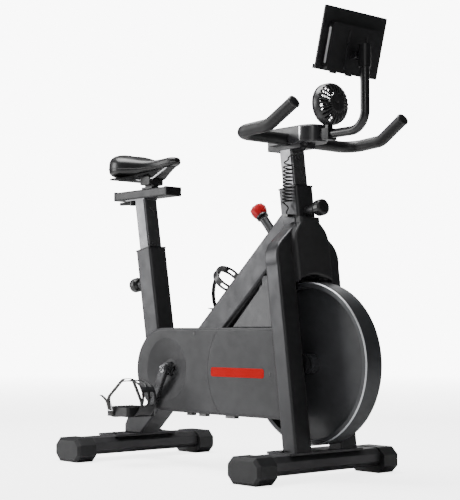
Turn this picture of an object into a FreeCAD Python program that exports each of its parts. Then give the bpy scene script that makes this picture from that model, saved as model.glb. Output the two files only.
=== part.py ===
"""Magnetic exercise bike as a parametric FreeCAD assembly.

Millimetres. X points forward to the flywheel, Y to the rider's left and Z up.
The floor is Z = 0 and the origin is the middle of the bike's footprint.
Every driving size is a cell of the sheet Dimensions; each sub-part is one object
whose Label is its node's name, written to parts/LABEL.step.
"""
import FreeCAD, Part
import math
import os
import re
from FreeCAD import Placement, Rotation, Vector

X_AXIS = Vector(1, 0, 0)
Y_AXIS = Vector(0, 1, 0)
Z_AXIS = Vector(0, 0, 1)
BIG = 2000.0

DIMENSIONS = {
    # feet
    "foot_span": 540, "front_foot_x": 332.5, "rear_foot_x": -455.5, "foot_depth": 100,
    "foot_rise": 50, "foot_gap": 20, "foot_bevel": 14, "foot_wall": 2.5,
    "cap_reach": 65, "cap_depth": 128, "cap_rise": 72, "cap_bevel": 20, "cap_taper": 8,
    "cap_end_wall": 8, "base_plate": 6, "base_plate_depth": 100,
    "front_plate_width": 280, "rear_plate_width": 236,
    # steering column: fork, head tube and handlebar post lean back together
    "column_foot_x": 351, "column_foot_z": 76, "column_lean": 7.41,
    "leg_inner": 58, "leg_outer": 119, "leg_depth": 54, "leg_round": 7, "fork_wall": 3,
    "arch_spring": 440, "shoulder_start": 500, "shoulder_end": 606, "shoulder_end_half": 50,
    "neck_half": 37, "neck_foot": 622, "neck_top": 634,
    "tube_depth": 72, "tube_width": 68, "tube_wall": 3.5, "tube_round": 9,
    "head_foot": 504, "head_top": 721,
    "post_depth": 50, "post_width": 54, "post_wall": 2.5, "post_round": 7,
    "bush_gap": 0.06, "bush_rise": 60, "bush_lip": 4,
    "handlebar_post_foot": 590, "handlebar_post_top": 832,
    # main tube from the bottom bracket up to the head tube
    "main_angle": 41.5, "main_depth": 82, "main_wall": 2.5, "main_round": 9,
    "main_end": 612, "rail_width": 24, "rail_depth": 14,
    # bottom bracket and crank
    "crank_x": -194.5, "crank_z": 283, "bracket_radius": 26, "bracket_half": 36,
    "spindle_radius": 8.5, "bearing_radius": 20, "bearing_width": 12, "running_gap": 0.05,
    "crank_length": 140, "crank_angle": 27, "arm_inner": 97, "arm_thickness": 13,
    "arm_width": 30, "arm_boss_radius": 19, "arm_boss_inner": 82,
    # pedals
    "pedal_inner": 125, "pedal_width": 104, "pedal_length": 104, "pedal_rise": 27,
    "pedal_axle_radius": 6, "cage_rise": 88, "cage_width": 64, "cage_sheet": 3,
    "strap_width": 15, "strap_thickness": 2,
    # seat tube and seat post lean back together
    "seat_axis_x": -363.5, "seat_axis_z": 500, "seat_lean": 10, "seat_tube_foot": -292,
    "seat_tube_top": 152, "seat_post_foot": -60, "seat_post_top": 317,
    "rear_leg_width": 70, "rear_leg_wall": 3,
    # seat rail, carriage and saddle
    "seat_rail_rear": -547.5, "seat_rail_front": -275.5, "seat_rail_width": 60,
    "seat_rail_foot_z": 813, "seat_rail_rise": 28, "seat_rail_wall": 2.5,
    "pedestal_length": 44, "pedestal_half": 10, "cheek_half": 28,
    "saddle_nose_x": -255, "saddle_rear_x": -534, "saddle_half": 98, "nose_half": 24,
    "tilt_x": -388, "tilt_z": 867, "saddle_wire_radius": 3.5,
    "saddle_wire_half": 22,
    # belt drive and flywheel
    "flywheel_x": 326.5, "flywheel_z": 308, "flywheel_radius": 221, "flywheel_half": 31,
    "rim_depth": 15, "web_half": 4, "hub_radius": 26, "hub_half": 31,
    "axle_radius": 6, "axle_half": 112, "belt_y": -46, "belt_width": 11,
    "drive_pulley_radius": 90, "driven_pulley_radius": 24, "belt_thickness": 3,
    "belt_gap": 0.4, "fly_bearing_radius": 16, "fly_bearing_width": 10,
    # belt cover
    "cover_arc_x": -218.5, "cover_arc_z": 281, "cover_half_rise": 124, "cover_outer_y": -94,
    "cover_inner_y": -38.5, "back_plate": 3.5, "cover_wall": 2.5,
    "cover_front_top_x": 270, "cover_front_foot_x": 302,
    "dish_radius": 92, "dish_depth": 17, "dish_floor_radius": 30, "dish_hole_radius": 21,
    "seam_x": 164.5, "seam_z": 285, "seam_radius": 172, "seam_gap": 0.8,
    # magnetic brake
    "brake_pivot_radius": 262, "brake_pivot_angle": 128, "brake_end_angle": 95,
    "brake_inner": 40, "brake_sheet": 2.5, "rod_radius": 6,
    "rod_station": 525, "rod_foot": 112, "knob_foot": 109, "knob_radius": 24, "knob_rise": 42,
    "collar_radius": 13, "collar_rise": 60, "rod_channel": 8,
    "brake_bridge": 236, "brake_low": 203, "magnet_long": 34, "magnet_tall": 22,
    # handlebar, console, tablet holder and fan
    "bar_radius": 17, "bar_x": 257.5, "bar_z": 926, "bar_corner_y": 224, "bar_bend": 48,
    "horn_bend_x": 381, "horn_bend_z": 933, "horn_tip_x": 468, "horn_tip_y": 212,
    "horn_tip_z": 984, "horn_bend_y": 219, "console_rear_x": 196, "console_front_x": 364,
    "console_half": 44, "console_foot_z": 911, "console_top_z": 960,
    "stalk_radius": 12.5, "stalk_z": 930, "stalk_x": 519.5, "stalk_bend": 50, "stalk_top_z": 1150,
    "tablet_width": 240, "tablet_rise": 168, "tablet_sheet": 5, "tablet_lean": 14.5,
    "tablet_pivot_x": 496, "tablet_pivot_z": 1128, "tray_width": 196, "tray_rise": 128,
    "tray_depth": 20, "lip_depth": 18,
    "fan_x": 399.5, "fan_z": 1011, "fan_radius": 57, "fan_depth": 44, "fan_stem_x": 388,
    # pull knobs that lock the two posts
    "pin_radius": 6, "barrel_radius": 13, "barrel_reach": 34, "pull_radius": 23, "pull_reach": 34,
    "head_knob_z": 650, "seat_knob_z": 54, "pin_tip": 26.5,
    # bottle cage on the main tube
    "cage_foot_s": 208, "cage_top_s": 356, "bottle_radius": 41, "bottle_sheet": 3,
    # curly cord beside the steering column
    "coil_radius": 13.5, "coil_y": -50.5, "coil_foot_z": 724, "coil_top_z": 870,
    "coil_foot_x": 273.5, "coil_top_x": 280.5, "lead_radius": 1.8,
}

doc = FreeCAD.newDocument("ExerciseBike")
sheet = doc.addObject("Spreadsheet::Sheet", "Dimensions")
ALIAS = re.compile(r"\b(" + "|".join(sorted(DIMENSIONS, key=len, reverse=True)) + r")\b")
parts = []


def fill_sheet():
    for row, (alias, value) in enumerate(DIMENSIONS.items(), start=1):
        sheet.set(f"A{row}", alias.replace("_", " "))
        sheet.set(f"B{row}", str(value))
        sheet.setAlias(f"B{row}", alias)
    doc.recompute()


def dim(alias):
    return float(sheet.get(alias))


def bind(obj, **sizes):
    """Tie each property to an expression of sheet cells."""
    for name, words in sizes.items():
        obj.setExpression(name, ALIAS.sub(r"Dimensions.\1", words))
    obj.recompute()
    return obj


def keep(obj, label):
    """Register a finished sub-part under its node's name."""
    obj.Label = label
    parts.append(obj)
    return obj


def at(x, y, z, rotation=None):
    return Placement(Vector(x, y, z), rotation or Rotation())


def turn(axis, degrees):
    return Rotation(axis, degrees)


def column():
    """Frame of the steering column: origin at its foot, Z up along its axis."""
    return at(dim("column_foot_x"), 0, dim("column_foot_z"), turn(Y_AXIS, -dim("column_lean")))


def seat_axis():
    return at(dim("seat_axis_x"), 0, dim("seat_axis_z"), turn(Y_AXIS, -dim("seat_lean")))


def main_axis():
    """Frame of the main tube: origin at the crank axis, X up along the tube."""
    return at(dim("crank_x"), 0, dim("crank_z") + 6, turn(Y_AXIS, -dim("main_angle")))


def box(length, width, height, place, centre="xy"):
    """A box, centred in its own frame along the letters in centre."""
    obj = bind(doc.addObject("Part::Box", "Block"), Length=length, Width=width, Height=height)
    shift = Vector(-obj.Length.Value / 2 * ("x" in centre), -obj.Width.Value / 2 * ("y" in centre),
                   -obj.Height.Value / 2 * ("z" in centre))
    obj.Placement = place.multiply(Placement(shift, Rotation()))
    return obj


def cylinder(radius, height, base, axis):
    """A round bar from base along axis."""
    obj = bind(doc.addObject("Part::Cylinder", "Bar"), Radius=radius, Height=height)
    obj.Placement = Placement(base, Rotation(Z_AXIS, axis))
    return obj


def cone(foot_radius, top_radius, height, base, axis):
    obj = doc.addObject("Part::Cone", "Taper")
    bind(obj, Radius1=foot_radius, Radius2=top_radius, Height=height)
    obj.Placement = Placement(base, Rotation(Z_AXIS, axis))
    return obj


def cut(base, *tools):
    for tool in tools:
        whole = doc.addObject("Part::Cut", "Cut")
        whole.Base = base
        whole.Tool = tool
        whole.recompute()
        base = whole
    return base


def fuse(*shapes):
    obj = doc.addObject("Part::MultiFuse", "Union")
    obj.Shapes = list(shapes)
    obj.Refine = True
    obj.recompute()
    return obj


def common(base, tool):
    obj = doc.addObject("Part::Common", "Overlap")
    obj.Base = base
    obj.Tool = tool
    obj.recompute()
    return obj


def group(*shapes):
    obj = doc.addObject("Part::Compound", "Set")
    obj.Links = list(shapes)
    obj.recompute()
    return obj


def rounded(base, radius, pick):
    """Fillet the edges that pick accepts."""
    obj = doc.addObject("Part::Fillet", "Round")
    obj.Base = base
    size = dim(radius) if isinstance(radius, str) else radius
    obj.Edges = [(i, size, size) for i, e in enumerate(base.Shape.Edges, start=1) if pick(e)]
    obj.recompute()
    return obj


def bevelled(base, size, pick):
    obj = doc.addObject("Part::Chamfer", "Bevel")
    obj.Base = base
    obj.Edges = [(i, size, size) for i, e in enumerate(base.Shape.Edges, start=1) if pick(e)]
    obj.recompute()
    return obj


def ends(edge):
    return [v.Point for v in edge.Vertexes]


def runs_along(axis):
    """Picks straight edges parallel to axis."""
    def pick(edge):
        pair = ends(edge)
        if len(pair) < 2 or edge.Curve.TypeId != "Part::GeomLine":
            return False
        way = (pair[1] - pair[0]).normalize()
        return abs(abs(way.dot(axis)) - 1) < 1e-4
    return pick


def on_plane(place, axis, level, tolerance=0.01):
    """Picks edges that lie in one plane of a frame."""
    def pick(edge):
        points = ends(edge) + [edge.valueAt((edge.FirstParameter + edge.LastParameter) / 2)]
        local = [place.inverse().multVec(p) for p in points]
        return all(abs(p.dot(axis) - level) < tolerance for p in local)
    return pick


def either(*picks):
    return lambda edge: any(pick(edge) for pick in picks)


def outline(points):
    """Line segments through the points; a point (x, y, "arc") is the middle of an arc."""
    made = []
    count = len(points)
    i = 0
    while i < count:
        start = Vector(points[i][0], points[i][1], 0)
        after = points[(i + 1) % count]
        if len(after) == 3:
            end = points[(i + 2) % count]
            made.append(Part.Arc(start, Vector(after[0], after[1], 0), Vector(end[0], end[1], 0)))
            i += 2
        else:
            made.append(Part.LineSegment(start, Vector(after[0], after[1], 0)))
            i += 1
    return made


def prism(name, plane, outlines, length, place=None, symmetric=True, back=False):
    """A PartDesign body: closed outlines sketched on an origin plane and padded."""
    body = doc.addObject("PartDesign::Body", name)
    sketch = body.newObject("Sketcher::SketchObject", name + "Sketch")
    support = [f for f in body.Origin.OriginFeatures if f.Role == plane][0]
    sketch.AttachmentSupport = [(support, "")]
    sketch.MapMode = "FlatFace"
    for loop in outlines:
        sketch.addGeometry(outline(loop), False)
    pad = body.newObject("PartDesign::Pad", name + "Pad")
    pad.Profile = sketch
    if symmetric:
        pad.SideType = "Symmetric"
    pad.Reversed = back
    bind(pad, Length=length)
    doc.recompute()
    if place:
        body.Placement = place
    return body


def rectangle(half_x, half_y, inset=0.0):
    x = half_x - inset
    y = half_y - inset
    return [(-x, -y), (x, -y), (x, y), (-x, y)]


def tube(name, depth, width, wall, length, radius, place):
    """A rounded rectangular tube along its own Z; wall None leaves it solid."""
    half_x = dim(depth) / 2
    half_y = dim(width) / 2
    loops = [rectangle(half_x, half_y)]
    if wall:
        loops.append(rectangle(half_x, half_y, dim(wall)))
    body = prism(name, "XY_Plane", loops, length, symmetric=False)

    tip = [o for o in body.Group if o.TypeId == "PartDesign::Pad"][0]
    rounds = [(half_x - dim(wall), half_y - dim(wall), f"{radius} - {wall}")] if wall else []
    rounds.append((half_x, half_y, radius))
    for corner_x, corner_y, size in rounds:
        round_off = body.newObject("PartDesign::Fillet", name + "Round")
        picked = [f"Edge{i}" for i, e in enumerate(tip.Shape.Edges, start=1)
                  if runs_along(Z_AXIS)(e) and abs(abs(ends(e)[0].x) - corner_x) < 0.01
                  and abs(abs(ends(e)[0].y) - corner_y) < 0.01]
        round_off.Base = (tip, picked)
        bind(round_off, Radius=size)
        tip = round_off
    body.Tip = tip
    doc.recompute()
    body.Placement = place
    return body


def swept(points, radius, place=None):
    """A round bar along straight runs joined by tangent arcs, as one solid.

    Each inner point carries its own bend radius as a fourth number.
    """
    edges = []
    last = Vector(*points[0][:3])
    for before, point, after in zip(points, points[1:], points[2:]):
        here = Vector(*point[:3])
        back = (Vector(*before[:3]) - here).normalize()
        on = (Vector(*after[:3]) - here).normalize()
        bend = math.pi - back.getAngle(on)
        reach = point[3] * math.tan(bend / 2)
        middle = (back + on).normalize() * (point[3] / math.cos(bend / 2) - point[3])
        edges.append(Part.LineSegment(last, here + back * reach).toShape())
        edges.append(Part.Arc(here + back * reach, here + middle, here + on * reach).toShape())
        last = here + on * reach
    edges.append(Part.LineSegment(last, Vector(*points[-1][:3])).toShape())
    path = Part.Wire(edges)
    start = path.Edges[0]
    circle = Part.Wire(Part.makeCircle(radius, start.valueAt(start.FirstParameter),
                                       start.tangentAt(start.FirstParameter)))
    shape = path.makePipeShell([circle], True, False)
    obj = doc.addObject("Part::Feature", "Sweep")
    obj.Shape = shape
    if place:
        obj.Placement = place
    return obj


# ---------------------------------------------------------------- feet

def octagon(half_x, foot, rise, bevel, inset=0.0):
    x = half_x - inset
    low = foot + inset
    high = foot + rise - inset
    b = bevel - inset * 0.6
    return [(-x + b, low), (x - b, low), (x, low + b), (x, high - b), (x - b, high),
            (-x + b, high), (-x, high - b), (-x, low + b)]


def stabilizer(name, x):
    loops = [octagon(dim("foot_depth") / 2, dim("foot_gap"), dim("foot_rise"), dim("foot_bevel"), i)
             for i in (0.0, dim("foot_wall"))]
    bar = prism(name, "XZ_Plane", loops, "foot_span - 2 * cap_end_wall", at(x, 0, 0))
    return keep(bar, name)


def end_cap(x, side):
    """A moulded shoe over one end of a stabilizer, open towards the middle."""
    span = dim("foot_span") / 2
    reach = dim("cap_reach")
    shoe = prism("Shoe", "XZ_Plane",
                 [octagon(dim("cap_depth") / 2, 0, dim("cap_rise"), dim("cap_bevel"))], "cap_reach",
                 at(x, side * (span - reach / 2), 0))
    end_plane = on_plane(Placement(), Y_AXIS, side * span)
    shoe = bevelled(shoe, dim("cap_taper"), end_plane)
    filling = prism("ShoeHollow", "XZ_Plane",
                    [octagon(dim("foot_depth") / 2, dim("foot_gap"), dim("foot_rise"),
                             dim("foot_bevel"))], "foot_span - 2 * cap_end_wall", at(x, 0, 0))
    return cut(shoe, filling)


def feet():
    stabilizer("front_stabilizer", dim("front_foot_x"))
    stabilizer("rear_stabilizer", dim("rear_foot_x"))
    caps = [end_cap(dim(x), side) for x in ("front_foot_x", "rear_foot_x") for side in (-1, 1)]
    keep(group(*caps), "stabilizer_end_caps")


# ---------------------------------------------------------------- frame

def head_envelope():
    """The head tube's outside as a solid, to mitre its neighbours."""
    foot = column().multiply(at(0, 0, dim("head_foot")))
    return tube("HeadEnvelope", "tube_depth", "tube_width", None, "head_top - head_foot",
                "tube_round", foot)


def fork_outline(inset=0.0):
    """Both legs and the arch between them; an inset outline stops short of the neck."""
    outer = dim("leg_outer") - inset
    inner = dim("leg_inner") + inset
    low = -30.0
    start = dim("shoulder_start")
    end = dim("shoulder_end") - 2 * inset
    half = dim("shoulder_end_half") - inset
    right = [(outer, low), (outer, start), (outer - 7, start + 50, "arc"),
             (outer - 29, start + 74 - inset), (half, end)]
    if not inset:
        right += [(dim("neck_half"), dim("neck_foot")), (dim("neck_half"), dim("neck_top"))]
    left = [(-p[0],) + p[1:] for p in reversed(right)]
    spring = dim("arch_spring")
    return right + left + [(-inner, low), (-inner, spring), (0, spring + inner, "arc"),
                           (inner, spring), (inner, low)]


def front_fork():
    """Two legs that close into a bottle-shouldered crown round the head tube."""
    crown = prism("ForkCrown", "YZ_Plane", [fork_outline()], "leg_depth", column())
    half = dim("leg_depth") / 2
    faces = either(on_plane(column(), X_AXIS, half), on_plane(column(), X_AXIS, -half))
    crown = rounded(crown, "leg_round", faces)
    floor = box("400", "400", "200", at(dim("column_foot_x"), 0, dim("column_foot_z") - 200))
    hollow = prism("ForkHollow", "YZ_Plane", [fork_outline(dim("fork_wall"))],
                   "leg_depth - 2 * fork_wall", column())
    crown = cut(crown, hollow, floor, head_envelope(), axle_bar("axle_radius"), rod_channel())
    plate = box("base_plate_depth", "front_plate_width", "base_plate",
                at(dim("front_foot_x"), 0, dim("foot_gap") + dim("foot_rise")))
    plate = rounded(plate, 8.0, runs_along(Z_AXIS))
    keep(fuse(crown, plate), "front_fork")


def shroud_outline(inset):
    """Front panel between the fork's legs: neck, shoulders and an arch over the wheel."""
    neck = dim("neck_half") - inset
    wide = 66.0 - inset
    foot = 452.0 + inset * 0
    arch_top = 470.0 + inset
    return [(wide, foot), (wide, 560.0), (62.0 - inset, 584.0 - inset, "arc"),
            (52.0 - inset, 602.0 - inset), (neck, 618.0 - inset), (neck, 634.0 - inset),
            (-neck, 634.0 - inset), (-neck, 618.0 - inset), (inset - 52.0, 602.0 - inset),
            (inset - 62.0, 584.0 - inset, "arc"), (-wide, 560.0), (-wide, foot), (0, arch_top, "arc")]


def fork_shroud():
    face = dim("leg_depth") / 2
    depth = 22.0
    place = column().multiply(at(face, 0, 0))
    skin = prism("Shroud", "YZ_Plane", [shroud_outline(0)], str(depth), place, symmetric=False)
    skin = rounded(skin, 9.0, on_plane(place, X_AXIS, depth))
    hollow = prism("ShroudHollow", "YZ_Plane", [shroud_outline(3.0)], str(depth - 4.0), place,
                   symmetric=False)
    keep(cut(skin, hollow, head_envelope()), "fork_shroud")


def head_tube():
    place = column().multiply(at(0, 0, dim("head_foot")))
    shell = tube("HeadTube", "tube_depth", "tube_width", "tube_wall", "head_top - head_foot",
                 "tube_round", place)
    barrel, bore = knob_barrel(column(), dim("head_knob_z"), 1)
    keep(cut(fuse(shell, barrel), bore, rod_channel()), "head_tube")


def post_bush(name, axis, top):
    """Plastic guide between an outer tube and the post that slides in it."""
    place = axis.multiply(at(0, 0, top - dim("bush_rise")))
    sleeve = prism(name, "XY_Plane",
                   [rectangle(dim("tube_depth") / 2, dim("tube_width") / 2, dim("tube_wall")),
                    rectangle(dim("post_depth") / 2, dim("post_width") / 2, -dim("bush_gap") * 5)],
                   "bush_rise", place, symmetric=False)
    corner = dim("tube_depth") / 2 - dim("tube_wall")
    upright = runs_along(axis.Rotation.multVec(Z_AXIS))
    sides = either(on_plane(place, X_AXIS, corner), on_plane(place, X_AXIS, -corner))
    sleeve = rounded(sleeve, dim("tube_round") - dim("tube_wall"), lambda e: upright(e) and sides(e))
    lip = prism(name + "Lip", "XY_Plane",
                [rectangle(dim("tube_depth") / 2, dim("tube_width") / 2),
                 rectangle(dim("post_depth") / 2, dim("post_width") / 2, -dim("bush_gap") * 5)],
                "bush_lip", axis.multiply(at(0, 0, top)), symmetric=False)
    lip = rounded(lip, 3.0, upright)
    return fuse(sleeve, lip)


def bracket_barrel(radius="bracket_radius"):
    base = Vector(dim("crank_x"), -dim("bracket_half"), dim("crank_z"))
    return cylinder(radius, "2 * bracket_half", base, Y_AXIS)


def rod_place(height=0.0):
    """Frame on the resistance rod's axis, height above the main tube's middle line."""
    return main_axis().multiply(at(dim("rod_station"), 0, height))


def main_tube():
    place = main_axis().multiply(Placement(Vector(), turn(Y_AXIS, 90)))
    shell = tube("MainTube", "main_depth", "tube_width", "main_wall", "main_end", "main_round", place)
    under = main_axis().multiply(at(160, 0, -dim("main_depth") / 2 - dim("rail_depth")))
    rail = box("360", "rail_width", "rail_depth", under, centre="y")
    rail = rounded(rail, 3.0, on_plane(under, Z_AXIS, 0))
    top = rod_place(dim("main_depth") / 2)
    collar = cylinder("collar_radius", "collar_rise", top.Base, top.Rotation.multVec(Z_AXIS))
    low = rod_place(-dim("main_depth"))
    bore = cylinder("rod_radius + running_gap", "300", low.Base, low.Rotation.multVec(Z_AXIS))
    pivot = brake_pivot()
    lug = box("24", "60", "44", at(pivot.x, 0, pivot.z - 8))
    pin = cylinder("4", "92", pivot - Y_AXIS * 46, Y_AXIS)
    core = box("main_end", "tube_width - 2 * main_wall", "main_depth - 2 * main_wall",
               main_axis().multiply(at(0, 0, -dim("main_depth") / 2 + dim("main_wall"))), centre="y")
    solid = fuse(shell, rail, collar, cut(lug, core), pin)
    solid = cut(solid, head_envelope(), fork_envelope(), bracket_barrel(), leg_envelope(), bore)
    keep(solid, "main_tube")


def fork_envelope():
    """The fork crown's outline as a plain block, to mitre the main tube."""
    return prism("ForkEnvelope", "YZ_Plane", [fork_outline()], "leg_depth", column())


def leg_points(inset=0.0):
    """Side outline of the rear leg, from the rear foot to the bottom bracket."""
    x = dim("crank_x")
    z = dim("crank_z")
    slope = math.radians(dim("main_angle"))
    along = Vector(math.cos(slope), 0, math.sin(slope))
    up = Vector(-math.sin(slope), 0, math.cos(slope))
    middle = Vector(x, 0, z + 6)
    half = 25.0 - inset
    plate_top = dim("foot_gap") + dim("foot_rise") + dim("base_plate")
    rear_x = -477.0 + inset
    top_end = middle + up * half
    foot_end = middle - up * half
    reach_low = (foot_end.z - plate_top) / along.z
    low = foot_end - along * reach_low
    reach_high = (top_end.x + 375.5) / along.x
    high = top_end - along * reach_high
    return [(rear_x, plate_top), (low.x, plate_top), (foot_end.x, foot_end.z),
            (top_end.x, top_end.z), (high.x, high.z - inset * 0.5), (rear_x + 14.0, 124.0 - inset),
            (rear_x, 102.0 - inset)]


def leg_envelope():
    return prism("LegEnvelope", "XZ_Plane", [leg_points()], "rear_leg_width")


def rear_leg():
    """Box-section leg from the rear foot to the bottom bracket, with its shell."""
    skin = rounded(leg_envelope(), 5.0, on_plane(Placement(), Y_AXIS, -dim("rear_leg_width") / 2))
    inside = prism("LegHollow", "XZ_Plane", [leg_points(dim("rear_leg_wall"))],
                   "rear_leg_width - 2 * rear_leg_wall")
    vent = cylinder("10", "40", Vector(-425, 0, 50), Z_AXIS)
    plate = box("base_plate_depth", "rear_plate_width", "base_plate",
                at(dim("rear_foot_x"), 0, dim("foot_gap") + dim("foot_rise")))
    plate = rounded(plate, 8.0, runs_along(Z_AXIS))
    solid = fuse(cut(skin, inside), bracket_barrel(), plate)
    hollow = cylinder("bearing_radius", "bracket_half * 4",
                      Vector(dim("crank_x"), -2 * dim("bracket_half"), dim("crank_z")), Y_AXIS)
    keep(cut(solid, hollow, vent), "rear_leg")


def seat_tube():
    place = seat_axis().multiply(at(0, 0, dim("seat_tube_foot")))
    shell = tube("SeatTube", "tube_depth", "tube_width", "tube_wall",
                 "seat_tube_top - seat_tube_foot", "tube_round", place)
    barrel, bore = knob_barrel(seat_axis(), dim("seat_knob_z"), -1)
    below = box("500", "200", "400", main_axis().multiply(at(-500, 0, 25 - 400)), centre="y")
    keep(cut(fuse(shell, barrel), bore, leg_envelope(), below), "seat_tube")


def frame():
    front_fork()
    fork_shroud()
    head_tube()
    main_tube()
    rear_leg()
    seat_tube()
    bushes = [post_bush("SeatBush", seat_axis(), dim("seat_tube_top")),
              post_bush("HeadBush", column(), dim("head_top"))]
    keep(group(*bushes), "post_bushings")


def axle_bar(radius):
    base = Vector(dim("flywheel_x"), -dim("axle_half"), dim("flywheel_z"))
    return cylinder(radius, "2 * axle_half", base, Y_AXIS)


def rod_channel():
    low = rod_place(-dim("main_depth") * 2)
    return cylinder("rod_channel", "200", low.Base, low.Rotation.multVec(Z_AXIS))


def knob_barrel(axis, level, side):
    """Barrel welded on a tube, and the bore in it for a locking pin."""
    face = dim("tube_depth") / 2
    way = axis.Rotation.multVec(X_AXIS) * side
    root = axis.multVec(Vector(side * (face - 1.5), 0, level))
    barrel = cylinder("barrel_radius", "barrel_reach + 1.5", root, way)
    bore = cylinder("pin_radius + running_gap", "60", axis.multVec(Vector(side * 20, 0, level)), way)
    return barrel, bore


def brake_pivot():
    angle = math.radians(dim("brake_pivot_angle"))
    reach = dim("brake_pivot_radius")
    return Vector(dim("flywheel_x") + reach * math.cos(angle), 0,
                  dim("flywheel_z") + reach * math.sin(angle))


# ---------------------------------------------------------------- belt cover

def cover_points(inset=0.0):
    x = dim("cover_arc_x")
    z = dim("cover_arc_z")
    reach = dim("cover_half_rise") - inset
    top_x = dim("cover_front_top_x") - inset
    foot_x = dim("cover_front_foot_x") - inset
    return [(x, z + reach), (x - reach, z, "arc"), (x, z - reach), (foot_x, z - reach),
            (top_x, z + reach)]


def open_box(name, points, hollow_points, outer, inner, wall, radius):
    """A moulded cover: outline padded from inner to outer, open on its inner side."""
    middle = (outer + inner) / 2
    skin = prism(name, "XZ_Plane", [points], str(abs(inner - outer)), at(0, middle, 0))
    skin = rounded(skin, radius, on_plane(Placement(), Y_AXIS, outer))
    hollow = prism(name + "Hollow", "XZ_Plane", [hollow_points], str(abs(inner - outer)),
                   at(0, middle + wall, 0))
    if radius > wall:
        hollow = rounded(hollow, radius - wall, on_plane(Placement(), Y_AXIS, outer + wall))
    return cut(skin, hollow)


def seam_disc(radius):
    base = Vector(dim("seam_x"), -200, dim("seam_z"))
    return cylinder(radius, "400", base, Y_AXIS)


def belt_covers():
    """Outer cover in two mouldings that meet on a curved seam, and its back plate."""
    outer = dim("cover_outer_y")
    inner = dim("cover_inner_y")
    wall = dim("cover_wall")
    crank = Vector(dim("crank_x"), outer, dim("crank_z"))
    skin = open_box("Cover", cover_points(), cover_points(wall), outer, inner, wall, 10.0)
    belt_way = box("60", "belt_width + 6", "110", at(dim("cover_front_foot_x") - 10, dim("belt_y"),
                                                     dim("flywheel_z") - 55))
    skin = cut(skin, cylinder("dish_radius", "cover_wall + 2", crank - Y_AXIS, Y_AXIS), belt_way)
    dish = cut(cone("dish_radius + 2", "dish_floor_radius + 2", "dish_depth + 2.5", crank, Y_AXIS),
               cone("dish_radius", "dish_floor_radius", "dish_depth", crank, Y_AXIS),
               cylinder("dish_hole_radius", "60", crank - Y_AXIS, Y_AXIS))
    skin = fuse(skin, dish)
    front_half = box("800", "300", "400", at(dim("seam_x") + 400, 0, 100))
    nose = fuse(seam_disc("seam_radius"), front_half)
    keep(cut(skin, nose), "belt_cover_rear")
    nose_small = fuse(seam_disc("seam_radius - seam_gap"), front_half)
    keep(common(skin, nose_small), "belt_cover_front")
    plate = prism("BackPlate", "XZ_Plane", [cover_points()], "back_plate",
                  at(0, inner + dim("back_plate") / 2, 0))
    hole = cylinder("bracket_radius + 4", "200", crank - Y_AXIS * 10, Y_AXIS)
    keep(cut(plate, hole), "belt_cover_back")


def panel_points(inset=0.0):
    top = dim("cover_arc_z") + dim("cover_half_rise")
    return [(88 + 2.2 * inset, top + inset), (258 - inset, 567 - 2.2 * inset),
            (275 - inset, top + inset)]


def upper_panel():
    outer = dim("cover_outer_y") + 8
    wall = dim("cover_wall")
    skin = open_box("Panel", panel_points(), panel_points(wall), outer, dim("cover_inner_y"), wall, 4.0)
    brake_way = box("200", "20", "120", at(230, -34, 470))
    keep(cut(skin, brake_way), "upper_side_panel")


# ---------------------------------------------------------------- drive

def crank_axis_point(y):
    return Vector(dim("crank_x"), y, dim("crank_z"))


def ring(outer, inner, height, base, axis):
    low = base - axis
    return cut(cylinder(outer, height, base, axis), cylinder(inner, height + " + 2", low, axis))


def bracket_bearings():
    half = dim("bracket_half")
    sides = [ring("bearing_radius", "spindle_radius + running_gap", "bearing_width",
                  crank_axis_point(start), Y_AXIS) for start in (-half, half - dim("bearing_width"))]
    keep(group(*sides), "bracket_bearings")


def arm_face():
    return dim("arm_inner") + dim("arm_thickness")


def crank_set():
    reach = arm_face()
    keep(cylinder("spindle_radius", "2 * (arm_inner + arm_thickness)", crank_axis_point(-reach),
                  Y_AXIS), "crank_spindle")
    low = dim("belt_y") - dim("belt_width") / 2
    disc = cylinder("drive_pulley_radius", "belt_width", crank_axis_point(low), Y_AXIS)
    web = ring("drive_pulley_radius - 8", "spindle_radius + 12", "3", crank_axis_point(low - 1), Y_AXIS)
    hub = cylinder("spindle_radius + 9", "belt_width + 14", crank_axis_point(low - 14), Y_AXIS)
    shaft = cylinder("spindle_radius", "200", crank_axis_point(-100), Y_AXIS)
    keep(cut(fuse(cut(disc, web), hub), shaft), "drive_pulley")
    arms = {side: crank_arm(side) for side in (-1, 1)}
    keep(arms[-1], "crank_arm_right")
    keep(arms[1], "crank_arm_left")
    bolts = [cylinder("11", "3.5", crank_axis_point(side * reach), Y_AXIS * side) for side in (-1, 1)]
    axles = [pedal_axle(side) for side in (-1, 1)]
    keep(group(*bolts, *axles), "crank_bolts_and_axles")


def crank_turn(side):
    """The right arm points down and back; the left arm is opposite."""
    return turn(Y_AXIS, dim("crank_angle") + (180 if side > 0 else 0))


def crank_arm(side):
    length = dim("crank_length")
    half = dim("arm_width") / 2
    points = [(-half, 0), (0, half, "arc"), (half, 0), (half - 4, -length),
              (0, -length - half + 4, "arc"), (4 - half, -length)]
    centre = side * (dim("arm_inner") + dim("arm_thickness") / 2)
    place = at(dim("crank_x"), centre, dim("crank_z"), crank_turn(side))
    blade = prism("Arm", "XZ_Plane", [points], "arm_thickness", place)
    blade = rounded(blade, 3.0, on_plane(Placement(), Y_AXIS, side * arm_face()))
    boss = cylinder("arm_boss_radius", "arm_inner - arm_boss_inner + 1",
                    crank_axis_point(side * dim("arm_boss_inner")), Y_AXIS * side)
    shaft = cylinder("spindle_radius", "300", crank_axis_point(-150), Y_AXIS)
    tip = pedal_centre(side)
    eye = cylinder("pedal_axle_radius", "60", Vector(tip.x, side * 80, tip.z), Y_AXIS * side)
    return cut(fuse(blade, boss), shaft, eye)


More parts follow.
